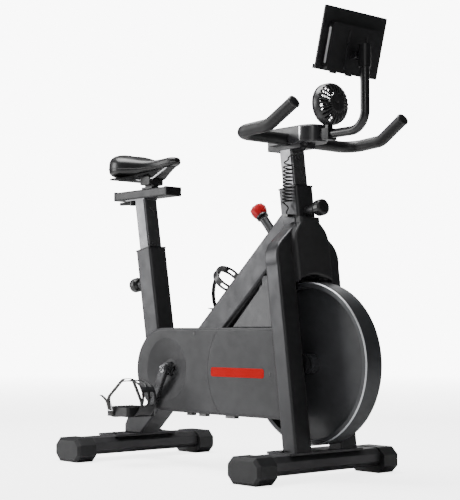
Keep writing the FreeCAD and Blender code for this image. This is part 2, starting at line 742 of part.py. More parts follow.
def pedal_centre(side):
    angle = math.radians(dim("crank_angle"))
    reach = dim("crank_length") * side
    y = side * (dim("pedal_inner") + dim("pedal_width") / 2)
    return Vector(dim("crank_x") + reach * math.sin(angle), y, dim("crank_z") + reach * math.cos(angle))


def pedal_axle(side):
    tip = pedal_centre(side)
    root = Vector(tip.x, side * (dim("arm_inner") + 1), tip.z)
    shank = cylinder("pedal_axle_radius", "pedal_inner + pedal_width - arm_inner - 7", root, Y_AXIS * side)
    flange = cylinder("9", "6", Vector(tip.x, side * arm_face(), tip.z), Y_AXIS * side)
    return fuse(shank, flange)


def cage_outline(sheet_width):
    """Toe cage seen from the side, from the pedal's front edge up and back over the foot."""
    rise = dim("cage_rise")
    front = dim("pedal_length") / 2
    skin = [(front, -8), (front + 20, 8), (front + 38, 40, "arc"), (front + 18, rise - 8),
            (front - 22, rise + 4, "arc"), (-30, rise)]
    t = sheet_width
    inner = [(-30, rise - t), (front - 22, rise + 4 - t, "arc"), (front + 18 - t, rise - 8 - t),
             (front + 38 - t, 40, "arc"), (front + 20 - t, 8 + t * 0.6), (front, -8 + t * 1.6)]
    return skin + inner


def pedal(side, name):
    """Platform pedal with its toe cage and strap, turning on the axle in the crank arm."""
    centre = pedal_centre(side)
    place = Placement(centre, Rotation())
    rise = dim("pedal_rise")
    body = box("pedal_length", "pedal_width", "pedal_rise", place, centre="xyz")
    body = bevelled(body, 6.0, runs_along(Z_AXIS))
    windows = [box("28", "78", "60", at(centre.x + shift, centre.y, centre.z), centre="xyz")
               for shift in (-29, 29)]
    bore = cylinder("pedal_axle_radius + running_gap", "pedal_width - 4",
                    Vector(centre.x, side * (dim("pedal_inner") - 0.5), centre.z), Y_AXIS * side)
    keep(cut(body, *windows, bore), "pedal_body_" + name)
    cage = prism("ToeCage", "XZ_Plane", [cage_outline(dim("cage_sheet"))], "cage_width", place)
    slots = [box("22", "14", "40", at(centre.x + 10, centre.y + y, centre.z + dim("cage_rise") - 20))
             for y in (-17, 17)]
    keep(cut(cage, *slots), "toe_cage_" + name)
    strap_out = strap_loop(dim("strap_thickness"))
    strap = prism("ToeStrap", "YZ_Plane", [strap_out, strap_loop(0.0)], "strap_width",
                  Placement(centre + Vector(-20, 0, 0), Rotation()))
    keep(strap, "toe_strap_" + name)


def strap_loop(extra):
    half = dim("pedal_width") / 2 + extra
    top = dim("cage_rise") + 4.4 + extra
    low = -dim("pedal_rise") / 2 - extra
    shoulder = dim("cage_width") / 2 + 1 + extra
    return [(-half, low), (half, low), (half + 2, 24), (shoulder, top), (-shoulder, top),
            (-half - 2, 24)]


def flywheel_point(y):
    return Vector(dim("flywheel_x"), y, dim("flywheel_z"))


def flywheel_set():
    half = dim("flywheel_half")
    rim = ring("flywheel_radius", "flywheel_radius - rim_depth", "2 * flywheel_half",
               flywheel_point(-half), Y_AXIS)
    web = cylinder("flywheel_radius - rim_depth + 1", "2 * web_half", flywheel_point(-dim("web_half")),
                   Y_AXIS)
    hub = cylinder("hub_radius", "2 * hub_half", flywheel_point(-dim("hub_half")), Y_AXIS)
    wheel = fuse(rim, web, hub)
    rim_edges = either(on_plane(Placement(), Y_AXIS, -half), on_plane(Placement(), Y_AXIS, half))
    wide = dim("flywheel_radius") - 1
    wheel = bevelled(wheel, 2.5, lambda e: rim_edges(e) and e.BoundBox.XLength > 2 * wide)
    depth = dim("fly_bearing_width")
    seats = [cylinder("fly_bearing_radius", "fly_bearing_width", flywheel_point(y), Y_AXIS)
             for y in (-half, half - depth)]
    core = cylinder("axle_radius + 3", "200", flywheel_point(-100), Y_AXIS)
    keep(cut(wheel, core, *seats), "flywheel")
    rings = [ring("fly_bearing_radius", "axle_radius + running_gap", "fly_bearing_width",
                  flywheel_point(y), Y_AXIS) for y in (-half, half - depth)]
    keep(group(*rings), "flywheel_bearings")
    low = dim("belt_y") - dim("belt_width") / 2
    pulley = cylinder("driven_pulley_radius", "belt_width", flywheel_point(low), Y_AXIS)
    neck = cylinder("fly_bearing_radius + 5", "-flywheel_half - belt_y + 0",
                    flywheel_point(dim("belt_y")), Y_AXIS)
    core = cylinder("axle_radius + 3", "200", flywheel_point(-100), Y_AXIS)
    keep(cut(fuse(pulley, neck), core), "flywheel_pulley")
    keep(axle_bar("axle_radius"), "flywheel_axle")


def belt_loop(extra):
    """Belt line round both pulleys: two arcs and the two outer tangents."""
    big = dim("drive_pulley_radius") + dim("belt_gap") + extra
    small = dim("driven_pulley_radius") + dim("belt_gap") + extra
    x1, z1 = dim("crank_x"), dim("crank_z")
    x2, z2 = dim("flywheel_x"), dim("flywheel_z")
    heading = math.atan2(z2 - z1, x2 - x1)
    spread = math.acos((big - small) / math.hypot(x2 - x1, z2 - z1))

    def on(x, z, radius, angle):
        return (x + radius * math.cos(angle), z + radius * math.sin(angle))

    return [on(x2, z2, small, heading + spread), on(x1, z1, big, heading + spread),
            on(x1, z1, big, heading + math.pi) + ("arc",), on(x1, z1, big, heading - spread),
            on(x2, z2, small, heading - spread), on(x2, z2, small, heading) + ("arc",)]


def drive_belt():
    keep(prism("Belt", "XZ_Plane", [belt_loop(dim("belt_thickness")), belt_loop(0.0)], "belt_width",
               at(0, dim("belt_y"), 0)), "drive_belt")


# ---------------------------------------------------------------- brake

def wheel_point(radius, degrees):
    angle = math.radians(degrees)
    return (dim("flywheel_x") + radius * math.cos(angle), dim("flywheel_z") + radius * math.sin(angle))


def arc_band(low, high, start, stop):
    """Outline of a band of the flywheel's circle between two angles."""
    middle = (start + stop) / 2
    return [wheel_point(high, start), wheel_point(high, middle) + ("arc",), wheel_point(high, stop),
            wheel_point(low, stop), wheel_point(low, middle) + ("arc",), wheel_point(low, start)]


def magnet_brake():
    """Yoke that hangs the magnets beside the rim, on a pin under the main tube."""
    start = dim("brake_end_angle")
    outer = dim("brake_inner") + dim("brake_sheet")
    bridge = prism("BrakeBridge", "XZ_Plane",
                   [arc_band(dim("brake_bridge"), dim("brake_bridge") + 3, start, 118)],
                   str(2 * outer), Placement())
    cheeks = []
    pivot = brake_pivot()
    for side in (-1, 1):
        y = side * (dim("brake_inner") + dim("brake_sheet") / 2)
        plate = prism("BrakeCheek", "XZ_Plane",
                      [arc_band(dim("brake_low"), dim("brake_bridge") + 1, start, 118)],
                      "brake_sheet", at(0, y, 0))
        arm = prism("BrakeArm", "XZ_Plane", [brake_arm_points(pivot)], "brake_sheet", at(0, y, 0))
        eye = cylinder("10", "brake_sheet", Vector(pivot.x, y - dim("brake_sheet") / 2, pivot.z), Y_AXIS)
        cheeks += [plate, arm, eye]
    hole = cylinder("4 + running_gap", "120", pivot - Y_AXIS * 60, Y_AXIS)
    keep(cut(fuse(bridge, *cheeks), hole), "magnet_yoke")
    magnets = []
    for degrees in (101, 111):
        x, z = wheel_point(dim("brake_low") + dim("magnet_tall") / 2 + 2, degrees)
        for side in (-1, 1):
            y = side * (dim("brake_inner") - 3)
            magnets.append(box("magnet_long", "6", "magnet_tall",
                               at(x, y, z, turn(Y_AXIS, 90 - degrees)), centre="xyz"))
    keep(group(*magnets), "brake_magnets")


def brake_arm_points(pivot):
    a = wheel_point(dim("brake_bridge") + 1, 117)
    b = wheel_point(dim("brake_low") + 8, 117)
    return [(pivot.x - 4, pivot.z + 9), a, b, (pivot.x - 4, pivot.z - 9)]


def resistance_control():
    """Rod that screws and presses the brake down, under a red knob."""
    foot = rod_place(-dim("rod_foot"))
    way = foot.Rotation.multVec(Z_AXIS)
    rod = cylinder("rod_radius", "rod_foot + knob_foot + 20", foot.Base, way)
    keep(rod, "resistance_rod")
    base = rod_place(dim("knob_foot")).Base
    cap = cone("knob_radius", "knob_radius - 2.5", "knob_rise", base, way)
    cap = rounded(cap, 5.0, lambda e: on_plane(rod_place(), Z_AXIS,
                                               dim("knob_foot") + dim("knob_rise"))(e))
    keep(cut(cap, cylinder("rod_radius + running_gap", "20.3", base, way)), "resistance_knob")


# ---------------------------------------------------------------- posts and knobs

def pull_knob(name, axis, level, side):
    way = axis.Rotation.multVec(X_AXIS) * side
    face = dim("tube_depth") / 2 + dim("barrel_reach") + 1
    pin = cylinder("pin_radius", f"{face + 4} - pin_tip",
                   axis.multVec(Vector(side * dim("pin_tip"), 0, level)), way)
    base = axis.multVec(Vector(side * face, 0, level))
    head = cylinder("pull_radius", "pull_reach", base, way)
    head = rounded(head, 7.0, lambda e: e.Curve.TypeId == "Part::GeomCircle")
    keep(fuse(pin, head), name)


def seat_post():
    place = seat_axis().multiply(at(0, 0, dim("seat_post_foot")))
    shell = tube("SeatPost", "post_depth", "post_width", "post_wall",
                 "seat_post_top - seat_post_foot + 20", "post_round", place)
    under = dim("seat_rail_foot_z") - 4
    above = box("400", "200", "100", at(dim("seat_axis_x") - 50, 0, under))
    head = box("96", "post_width", "3.8", at(-440, 0, under))
    stud_hole = cylinder("5 + running_gap", "30", Vector(-462, -18, under - 10), Z_AXIS)
    keep(cut(fuse(cut(shell, above), head), stud_hole), "seat_post")


def slide_lever():
    """Clamp lever under the seat rail: hub, handle, stud and the nut inside the rail."""
    under = dim("seat_rail_foot_z") - 4
    centre = Vector(-462, -18, under)
    hub = cylinder("9", "15", centre - Z_AXIS * 15.2, Z_AXIS)
    handle = cylinder("5.5", "46", centre - Z_AXIS * 8, Vector(-0.94, -0.34, 0))
    stud = cylinder("5", "25", centre - Z_AXIS * 2, Z_AXIS)
    nut = cylinder("9", "6", centre + Z_AXIS * 14, Z_AXIS)
    keep(fuse(hub, handle, stud, nut), "seat_slide_lever")


def seat_rail():
    length = "seat_rail_front - seat_rail_rear - 2 * 12"
    middle = (dim("seat_rail_front") + dim("seat_rail_rear")) / 2
    place = at(middle, 0, dim("seat_rail_foot_z"))
    skin = rounded(box(length, "seat_rail_width", "seat_rail_rise", place), 5.0, runs_along(X_AXIS))
    hollow = box("600", "seat_rail_width - 2 * seat_rail_wall", "seat_rail_rise - 2 * seat_rail_wall",
                 at(middle, 0, dim("seat_rail_foot_z") + dim("seat_rail_wall")))
    slot = box("150", "12", "10", at(-462, -18, dim("seat_rail_foot_z") - 5))
    pedestal = box("pedestal_length", "2 * pedestal_half", "34",
                   at(dim("tilt_x"), 0, dim("seat_rail_foot_z") + dim("seat_rail_rise") - 0.5))
    top = dim("seat_rail_foot_z") + dim("seat_rail_rise")
    foot = box("pedestal_length + 8", "40", "8", at(dim("tilt_x"), 0, top - 0.5))
    hole = cylinder("5 + running_gap", "60", Vector(dim("tilt_x"), -30, dim("tilt_z")), Y_AXIS)
    keep(cut(fuse(cut(skin, hollow), pedestal, foot), slot, hole), "seat_rail")
    caps = []
    for end, side in (("seat_rail_rear", 1), ("seat_rail_front", -1)):
        x = dim(end) + side * 6
        cap = box("12", "seat_rail_width + 2", "seat_rail_rise + 1",
                  at(x, 0, dim("seat_rail_foot_z")))
        caps.append(rounded(cap, 4.0, on_plane(Placement(), X_AXIS, dim(end))))
    keep(group(*caps), "seat_rail_caps")


# ---------------------------------------------------------------- saddle

def saddle_plan(inset=0.0):
    nose = dim("saddle_nose_x") - inset
    rear = dim("saddle_rear_x") + inset
    half = dim("saddle_half") - inset
    tip = dim("nose_half") - inset
    right = [(nose - 10, -tip + 6), (nose - 70, -tip - 4), (nose - 150, -half * 0.55),
             (rear + 70, -half), (rear + 10, -half * 0.82), (rear, -half * 0.4)]
    left = [(x, -y) for x, y in reversed(right)]
    return right + left + [(nose, 0, "arc")]


def saddle_side():
    """Side outline of the pad: raised rear, dip and lifted nose."""
    nose = dim("saddle_nose_x")
    rear = dim("saddle_rear_x")
    top = [(nose, 922), (nose - 16, 938), (nose - 60, 936), (nose - 140, 928), (nose - 200, 946),
           (rear + 44, 960), (rear + 12, 956), (rear, 930)]
    bottom = [(rear, 893), (rear + 20, 880), (rear + 90, 878), (rear + 130, 888),
              (nose - 90, 897), (nose - 10, 908)]
    return top + bottom


def saddle():
    plan = prism("SaddlePlan", "XY_Plane", [saddle_plan()], "200", at(0, 0, 820), symmetric=False)
    side = prism("SaddleSide", "XZ_Plane", [saddle_side()], "260")
    wires = [saddle_wire(side) for side in (-1, 1)]
    keep(cut(common(plan, side), *wires), "saddle_pad")
    nose = dim("saddle_nose_x")
    rear = dim("saddle_rear_x")
    strip = [(rear + 26, 880), (rear + 90, 877.8), (rear + 130, 887.8), (nose - 90, 896.8),
             (nose - 24, 906), (nose - 24, 903), (nose - 42, 896), (-342, 874), (-352, 874),
             (-366, 889), (rear + 132, 882), (rear + 92, 873), (rear + 26, 875)]
    base_plan = prism("BasePlan", "XY_Plane", [saddle_plan(9.0)], "200", at(0, 0, 820), symmetric=False)
    base_side = prism("BaseSide", "XZ_Plane", [strip], "260")
    pad = common(prism("PadPlan", "XY_Plane", [saddle_plan()], "200", at(0, 0, 820), symmetric=False),
                 prism("PadSide", "XZ_Plane", [saddle_side()], "260"))
    wires = [saddle_wire(side) for side in (-1, 1)]
    keep(cut(common(base_plan, base_side), pad, *wires), "saddle_base")
    keep(group(*[saddle_wire(side) for side in (-1, 1)]), "saddle_rails")
    cheeks = []
    for side in (-1, 1):
        inner = dim("pedestal_half") + 0.4
        outer = dim("cheek_half")
        y = side * (inner + outer) / 2
        cheek = box("46", str(outer - inner), "26", at(dim("tilt_x"), y, dim("tilt_z")), centre="xyz")
        cheeks.append(rounded(cheek, 6.0, runs_along(Y_AXIS)))
    pin = cylinder("5", "2 * cheek_half", Vector(dim("tilt_x"), -dim("cheek_half"), dim("tilt_z")),
                   Y_AXIS)
    clamp = cut(fuse(*cheeks, pin), *[saddle_wire(side) for side in (-1, 1)])
    keep(clamp, "saddle_clamp")


def saddle_wire(side):
    """One rod under the saddle: anchored at the nose, through the clamp, up to the rear."""
    y = side * dim("saddle_wire_half")
    level = dim("tilt_z") + 6
    return swept([(-296, y * 0.5, 904), (-352, y, level, 30), (-424, y, level, 24),
                  (-462, y * 1.3, 884)], dim("saddle_wire_radius"))


# ---------------------------------------------------------------- handlebar

def bar_path():
    bend = dim("bar_bend")
    right = [(dim("horn_tip_x"), -dim("horn_tip_y"), dim("horn_tip_z")),
             (dim("horn_bend_x"), -dim("horn_bend_y"), dim("horn_bend_z"), 55),
             (dim("bar_x"), -dim("bar_corner_y"), dim("bar_z"), bend)]
    return right + [(p[0], -p[1]) + p[2:] for p in reversed(right)]


def bar_bracket():
    plate = box("132", "60", "13", at(242, 0, 900))
    lug = box("34", "60", "16", at(193, 0, 913))
    return rounded(fuse(plate, lug), 2.0, runs_along(Z_AXIS))


def handlebar():
    place = column().multiply(at(0, 0, dim("handlebar_post_foot")))
    shell = tube("HandlebarPost", "post_depth", "post_width", "post_wall",
                 "handlebar_post_top - handlebar_post_foot + 20", "post_round", place)
    above = box("400", "200", "100", at(dim("bar_x"), 0, 900))
    keep(cut(shell, above), "handlebar_post")
    bar = swept(bar_path(), dim("bar_radius"))
    keep(bar, "handlebar")
    keep(cut(bar_bracket(), swept(bar_path(), dim("bar_radius"))), "handlebar_bracket")


def console_block():
    half = dim("console_half")
    rear = dim("console_rear_x")
    front = dim("console_front_x")
    plan = [(rear, -half), (rear, half), (front - 44, half), (front, 0, "arc"), (front - 44, -half)]
    return prism("Console", "XY_Plane", [plan], "console_top_z - console_foot_z - 2",
                 at(0, 0, dim("console_foot_z") + 2), symmetric=False)


def console():
    block = rounded(console_block(), 5.0, on_plane(Placement(), Z_AXIS, dim("console_top_z")))
    bracket = box("34.2", "60.2", "16.2", at(193, 0, 913))
    gland = cylinder("5", "9", Vector(319.5, -22, 905), Z_AXIS)
    keep(cut(fuse(block, gland), swept(bar_path(), dim("bar_radius")), bracket), "console")


def stalk():
    return swept([(300, 0, dim("stalk_z")), (dim("stalk_x"), 0, dim("stalk_z"), dim("stalk_bend")),
                  (dim("stalk_x"), 0, dim("stalk_top_z"))], dim("stalk_radius"))


def tablet_frame():
    """Frame at the middle of the tablet plate: X out of its back, Z up along it."""
    return at(471.5, 0, 1166.5, turn(Y_AXIS, dim("tablet_lean")))


def tablet_holder():
    socket = cylinder("stalk_radius + 4", "60", Vector(dim("stalk_x"), 0, 1094), Z_AXIS)
    pivot = Vector(dim("tablet_pivot_x"), 0, dim("tablet_pivot_z"))
    lug = box("24", "16", "16", at(pivot.x + 12, 0, pivot.z), centre="xyz")
    pin = cylinder("4", "36", pivot - Y_AXIS * 18, Y_AXIS)
    tube_bar = cylinder("stalk_radius", "200", Vector(dim("stalk_x"), 0, 1000), Z_AXIS)
    eye = cylinder("8", "16", pivot - Y_AXIS * 8, Y_AXIS)
    keep(cut(fuse(socket, lug, pin, eye), tube_bar), "tablet_socket")
    place = tablet_frame()
    plate = box("tablet_sheet", "tablet_width", "tablet_rise",
                place.multiply(at(0, 0, -dim("tablet_rise") / 2)))
    plate = rounded(plate, 4.0, runs_along(place.Rotation.multVec(X_AXIS)))
    tray = box("tray_depth", "tray_width", "tray_rise",
               place.multiply(at(dim("tray_depth") / 2 + 2, 0, -dim("tablet_rise") / 2)))
    tray = rounded(tray, 14.0, runs_along(place.Rotation.multVec(X_AXIS)))
    hollow = box("tray_depth", "tray_width - 8", "tray_rise - 8",
                 place.multiply(at(dim("tray_depth") / 2 - 2, 0, 4 - dim("tablet_rise") / 2)))
    lip = box("lip_depth", "tablet_width - 20", "4",
              place.multiply(at(-dim("lip_depth") / 2, 0, -dim("tablet_rise") / 2)))
    hook = box("3", "tablet_width - 20", "12",
               place.multiply(at(-dim("lip_depth"), 0, -dim("tablet_rise") / 2)))
    ears = []
    for side in (-1, 1):
        y = side * 12.6
        ears.append(box("18", "8", "16", at(pivot.x - 9, y, pivot.z), centre="xyz"))
        ears.append(cylinder("8", "8", pivot + Y_AXIS * (y - 4), Y_AXIS))
    hole = cylinder("4 + running_gap", "80", pivot - Y_AXIS * 40, Y_AXIS)
    body = fuse(plate, cut(tray, hollow), lip, hook, *ears)
    keep(cut(body, hole), "tablet_holder")


def fan_point(x=0.0):
    return Vector(dim("fan_x") + x, 0, dim("fan_z"))


def fan():
    """Desk fan on a clip round the tablet's stalk; its cage tilts and its blades spin."""
    stem = dim("fan_stem_x")
    clip = box("24", "34", "31", at(stem, 0, 914))
    lug = cylinder("5", "8", Vector(stem, -4, 951), Y_AXIS)
    web = box("9", "8", "8", at(stem, 0, 943))
    pin = cylinder("2.5", "18", Vector(stem, -9, 951), Y_AXIS)
    tube_bar = swept([(300, 0, dim("stalk_z")), (dim("stalk_x"), 0, dim("stalk_z"), dim("stalk_bend")),
                      (dim("stalk_x"), 0, dim("stalk_top_z"))], dim("stalk_radius"))
    keep(cut(fuse(clip, lug, web, pin), tube_bar), "fan_clip")
    half = dim("fan_depth") / 2
    shell = ring("fan_radius", "fan_radius - 2.5", "fan_depth", fan_point(-half), X_AXIS)
    shapes = [shell]
    for x in (-half, half - 2):
        shapes.append(cylinder("16", "2", fan_point(x), X_AXIS))
        shapes.append(ring("38", "36", "2", fan_point(x), X_AXIS))
        for i in range(16):
            spoke = at(dim("fan_x") + x + 1, 0, dim("fan_z"), turn(X_AXIS, i * 22.5))
            shapes.append(box("2", "2.4", "fan_radius - 15", spoke.multiply(at(0, 0, 14))))
    for side in (-1, 1):
        shapes.append(box("10", "4", "8", at(stem, side * 6.6, 951)))
        shapes.append(cylinder("5", "4", Vector(stem, side * 6.6 - 2, 951), Y_AXIS))
    shapes.append(cylinder("16", "fan_depth / 2 - 6", fan_point(6), X_AXIS))
    shapes.append(cylinder("2", "fan_depth / 2", fan_point(-10), X_AXIS))
    hole = cylinder("2.5 + running_gap", "30", Vector(stem, -15, 951), Y_AXIS)
    notch = box("20", "9.2", "12", at(stem, 0, 946))
    keep(cut(fuse(*shapes), hole, notch), "fan_cage")
    hub = cylinder("12", "15", fan_point(-12), X_AXIS)
    blades = [hub]
    for i in range(5):
        spin = at(dim("fan_x") - 4, 0, dim("fan_z"), turn(X_AXIS, i * 72))
        blades.append(box("1.6", "24", "36", spin.multiply(Placement(Vector(0, 0, 10),
                                                                      turn(Z_AXIS, 35)))))
    keep(cut(fuse(*blades), cylinder("2 + running_gap", "40", fan_point(-20), X_AXIS)), "fan_blades")


# ---------------------------------------------------------------- bottle cage, cord, fasteners

def bottle_cage():
    """Plastic cage on top of the main tube: back plate, ring, curved arm and a foot."""
    top = dim("main_depth") / 2
    foot = dim("cage_foot_s")
    height = dim("cage_top_s") - foot
    place = main_axis()
    along = place.Rotation.multVec(X_AXIS)
    middle = top + dim("bottle_sheet") + dim("bottle_radius") + 1
    back = box(str(height), "26", "bottle_sheet + 1.5", place.multiply(at(foot, 0, top)), centre="y")

    def hoop(station, width):
        base = place.multVec(Vector(station, 0, middle))
        return cut(cylinder("bottle_radius + bottle_sheet", width, base, along),
                   cylinder("bottle_radius", "200", base - along * 50, along))

    floor_base = place.multVec(Vector(foot, 0, middle))
    floor = common(cylinder("bottle_radius + bottle_sheet", "4", floor_base, along),
                   box("40", "30", "80", place.multiply(at(foot - 10, 0, top)), centre="y"))
    far = middle + dim("bottle_radius")
    arm = [(foot, top), (foot + 26, top + 44, "arc"), (foot + 96, far), (foot + 96, far + 3),
           (foot + 22, top + 46, "arc"), (foot - 5, top)]
    stay = prism("CageArm", "XZ_Plane", [arm], "16", place)
    keep(fuse(back, hoop(foot + 94, "24"), stay, floor), "bottle_cage")


def cord_route():
    """Lead from the console down to the coil's top."""
    return [(319.5, -22, 905), (319.5, -22, 891, 11), (303, -34, 881, 24), (287, -46, 879.5, 13),
            (dim("coil_top_x"), dim("coil_y"), dim("coil_top_z"))]


def curly_cord():
    foot = Vector(dim("coil_foot_x"), dim("coil_y"), dim("coil_foot_z"))
    top = Vector(dim("coil_top_x"), dim("coil_y"), dim("coil_top_z"))
    keep(cylinder("coil_radius", str((top - foot).Length), foot, top - foot), "curly_cord")
    lead = swept(cord_route(), dim("lead_radius"))
    tail = cylinder("lead_radius", "8", foot - Z_AXIS * 8.0, Z_AXIS)
    coil = cylinder("coil_radius + 0.4", str((top - foot).Length), foot, top - foot)
    keep(cut(lead, coil), "cord_lead_upper")
    keep(cut(tail, coil), "cord_lead_lower")


def fasteners():
    """Domed bolts on the base plates, cover screws and the cover's lower clips."""
    level = dim("foot_gap") + dim("foot_rise") + dim("base_plate")
    pieces = []
    for x, y in ((dim("front_foot_x"), 130), (dim("rear_foot_x"), 90)):
        for side in (-1, 1):
            dome = cylinder("8", "5", Vector(x, side * y, level), Z_AXIS)
            pieces.append(rounded(dome, 2.5, on_plane(Placement(), Z_AXIS, level + 5)))
    outer = dim("cover_outer_y")
    for x, z in ((-67.5, 388), (251.5, 280)):
        pieces.append(cylinder("4", "1.2", Vector(x, outer, z), Y_AXIS * -1))
    foot = dim("cover_arc_z") - dim("cover_half_rise")
    for x, length in ((-99, 24), (-42, 30), (78, 40)):
        pieces.append(box(str(length), "16", "7", at(x, -76, foot - 7)))
    socket = box("18", "22", "7", at(dim("coil_foot_x"), -45, dim("coil_foot_z") - 15))
    pieces.append(cut(socket, head_envelope()))
    keep(group(*pieces), "frame_fasteners")


def check_and_write():
    doc.recompute()
    faults = [o.Name for o in doc.Objects if {"Invalid", "Error"} & set(o.State)]
    for piece in parts:
        shape = piece.Shape
        if shape.isNull() or not shape.isValid() or not shape.Solids:
            faults.append(piece.Label)
    if faults:
        raise SystemExit("failed objects: " + ", ".join(faults))
    os.makedirs("parts", exist_ok=True)
    for piece in parts:
        piece.Shape.exportStep(f"parts/{piece.Label}.step")
        box_ = piece.Shape.BoundBox
        print(f"{piece.Label:24s} {len(piece.Shape.Solids)} solid(s) "
              f"x {box_.XMin:7.1f} {box_.XMax:7.1f}  y {box_.YMin:7.1f} {box_.YMax:7.1f}  "
              f"z {box_.ZMin:7.1f} {box_.ZMax:7.1f}")


def main():
    fill_sheet()
    feet()
    frame()
    belt_covers()
    upper_panel()
    bracket_bearings()
    crank_set()
    pedal(-1, "right")
    pedal(1, "left")
    flywheel_set()
    drive_belt()
    magnet_brake()
    resistance_control()
    pull_knob("handlebar_height_knob", column(), dim("head_knob_z"), 1)
    pull_knob("seat_height_knob", seat_axis(), dim("seat_knob_z"), -1)
    seat_post()
    slide_lever()
    seat_rail()
    saddle()
    handlebar()
    console()
    keep(cut(stalk(), console_block()), "tablet_stalk")
    tablet_holder()
    fan()
    bottle_cage()
    curly_cord()
    fasteners()
    check_and_write()


main()
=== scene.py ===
"""Looks of an indoor exercise bike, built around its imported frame.

Lengths are in metres in the part's own frame: +X forward, +Y to the rider's left, +Z up.
"""
import math

import bmesh
import bpy
from mathutils import Matrix, Vector


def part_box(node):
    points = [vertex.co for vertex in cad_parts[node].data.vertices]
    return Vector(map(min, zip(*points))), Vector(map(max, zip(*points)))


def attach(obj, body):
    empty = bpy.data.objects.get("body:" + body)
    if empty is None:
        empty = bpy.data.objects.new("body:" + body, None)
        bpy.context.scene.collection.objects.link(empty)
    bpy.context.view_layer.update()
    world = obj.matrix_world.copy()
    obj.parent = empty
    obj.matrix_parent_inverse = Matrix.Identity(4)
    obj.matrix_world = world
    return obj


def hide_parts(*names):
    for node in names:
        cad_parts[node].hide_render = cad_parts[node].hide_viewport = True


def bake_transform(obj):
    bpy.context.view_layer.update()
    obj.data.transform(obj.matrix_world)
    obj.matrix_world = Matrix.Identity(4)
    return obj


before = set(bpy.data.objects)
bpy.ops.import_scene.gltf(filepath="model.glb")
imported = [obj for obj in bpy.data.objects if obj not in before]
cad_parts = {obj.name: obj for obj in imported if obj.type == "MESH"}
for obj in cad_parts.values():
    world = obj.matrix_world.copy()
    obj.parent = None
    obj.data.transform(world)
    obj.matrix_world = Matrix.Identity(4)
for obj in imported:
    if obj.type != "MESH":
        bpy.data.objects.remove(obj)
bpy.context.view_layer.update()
MM = 0.001
SIDES = {"right": -1, "left": 1}

# ------------------------------------------------------------------ camera

CAMERA_PLACE = (2.7841, -2.5042, 0.4033)
CAMERA_LOOK = (-0.7440, 0.6654, 0.0610)
CAMERA_LENS = 92.25


def make_camera():
    data = bpy.data.cameras.new("camera")
    data.lens = CAMERA_LENS
    data.sensor_width = 36.0
    data.clip_end = 60.0
    camera = bpy.data.objects.new("camera", data)
    camera.location = CAMERA_PLACE
    camera.rotation_euler = Vector(CAMERA_LOOK).to_track_quat("-Z", "Y").to_euler()
    bpy.context.collection.objects.link(camera)
    bpy.context.scene.camera = camera


make_camera()

# ------------------------------------------------------------------ curly cord

CABLE = 4.0 * MM
COIL_RADIUS = 12.6 * MM
COIL_TURNS = 12
POINTS_PER_TURN = 14
END_TURNS = 0.5
HEAD_DROP = 14 * MM
TAIL_DROP = 24 * MM
LEAD = [(319.5, -22, 905), (319.5, -22, 891), (303, -34, 881), (287, -46, 879.5)]
COIL_TOP = Vector((0.2805, -0.0505, 0.870))
COIL_FOOT = Vector((0.2735, -0.0505, 0.724))
CORD_END = Vector((0.2735, -0.0505, 0.716))


def coil_points():
    """Helix that opens over its first half turn and closes to its own axis over its last."""
    way = COIL_FOOT - COIL_TOP
    drop = way.length
    way.normalize()
    across = way.cross(Vector((0, 1, 0))).normalized()
    other = way.cross(across)

    def point(depth, radius, turns):
        angle = 2 * math.pi * turns
        return COIL_TOP + way * depth + (across * math.cos(angle) + other * math.sin(angle)) * radius

    end_steps = int(END_TURNS * POINTS_PER_TURN)
    body_turns = COIL_TURNS - 2 * END_TURNS
    body_steps = int(body_turns * POINTS_PER_TURN)
    close_from = drop - TAIL_DROP
    points = []
    for step in range(end_steps):
        part = step / end_steps
        points.append(point(HEAD_DROP * part ** 0.8, COIL_RADIUS * part, END_TURNS * part))
    for step in range(body_steps + 1):
        part = step / body_steps
        depth = HEAD_DROP + (close_from - HEAD_DROP) * part ** 0.9
        points.append(point(depth, COIL_RADIUS, END_TURNS + body_turns * part))
    for step in range(1, end_steps + 1):
        part = step / end_steps
        depth = close_from + TAIL_DROP * part ** 0.8
        points.append(point(depth, COIL_RADIUS * (1 - part), COIL_TURNS - END_TURNS * (1 - part)))
    return points


def make_curve(name, points, radius, order=3, cyclic=False, resolution=6):
    data = bpy.data.curves.new(name, "CURVE")
    data.dimensions = "3D"
    data.bevel_depth = radius
    data.bevel_resolution = 4
    data.resolution_u = resolution
    data.use_fill_caps = True
    spline = data.splines.new("NURBS")
    spline.points.add(len(points) - 1)
    for target, point in zip(spline.points, points):
        target.co = (*point, 1.0)
    spline.order_u = order
    spline.use_endpoint_u = not cyclic
    spline.use_cyclic_u = cyclic
    obj = bpy.data.objects.new(name, data)
    bpy.context.collection.objects.link(obj)
    return obj


def mesh_of(curve):
    """The curve's surface as a mesh; its centre line if the curve has no thickness."""
    bpy.context.view_layer.update()
    graph = bpy.context.evaluated_depsgraph_get()
    return bpy.data.meshes.new_from_object(curve.evaluated_get(graph))


def curly_cord():
    lead = [Vector(point) * MM for point in LEAD]
    points = lead + coil_points() + [CORD_END + Vector((0, 0, 4 * MM)), CORD_END]
    curve = make_curve("cable_route", points, 0.0, resolution=4)
    line = [vertex.co.copy() for vertex in mesh_of(curve).vertices]
    curve.data.bevel_depth = CABLE / 2
    cord = bpy.data.objects.new("curly_cable", mesh_of(curve))
    bpy.data.objects.remove(curve)
    bpy.context.collection.objects.link(cord)
    for face in cord.data.polygons:
        face.use_smooth = True
    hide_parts("curly_cord", "cord_lead_upper", "cord_lead_lower")
    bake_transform(cord)
    return cord


cord = curly_cord()

# ------------------------------------------------------------------ mesh helpers

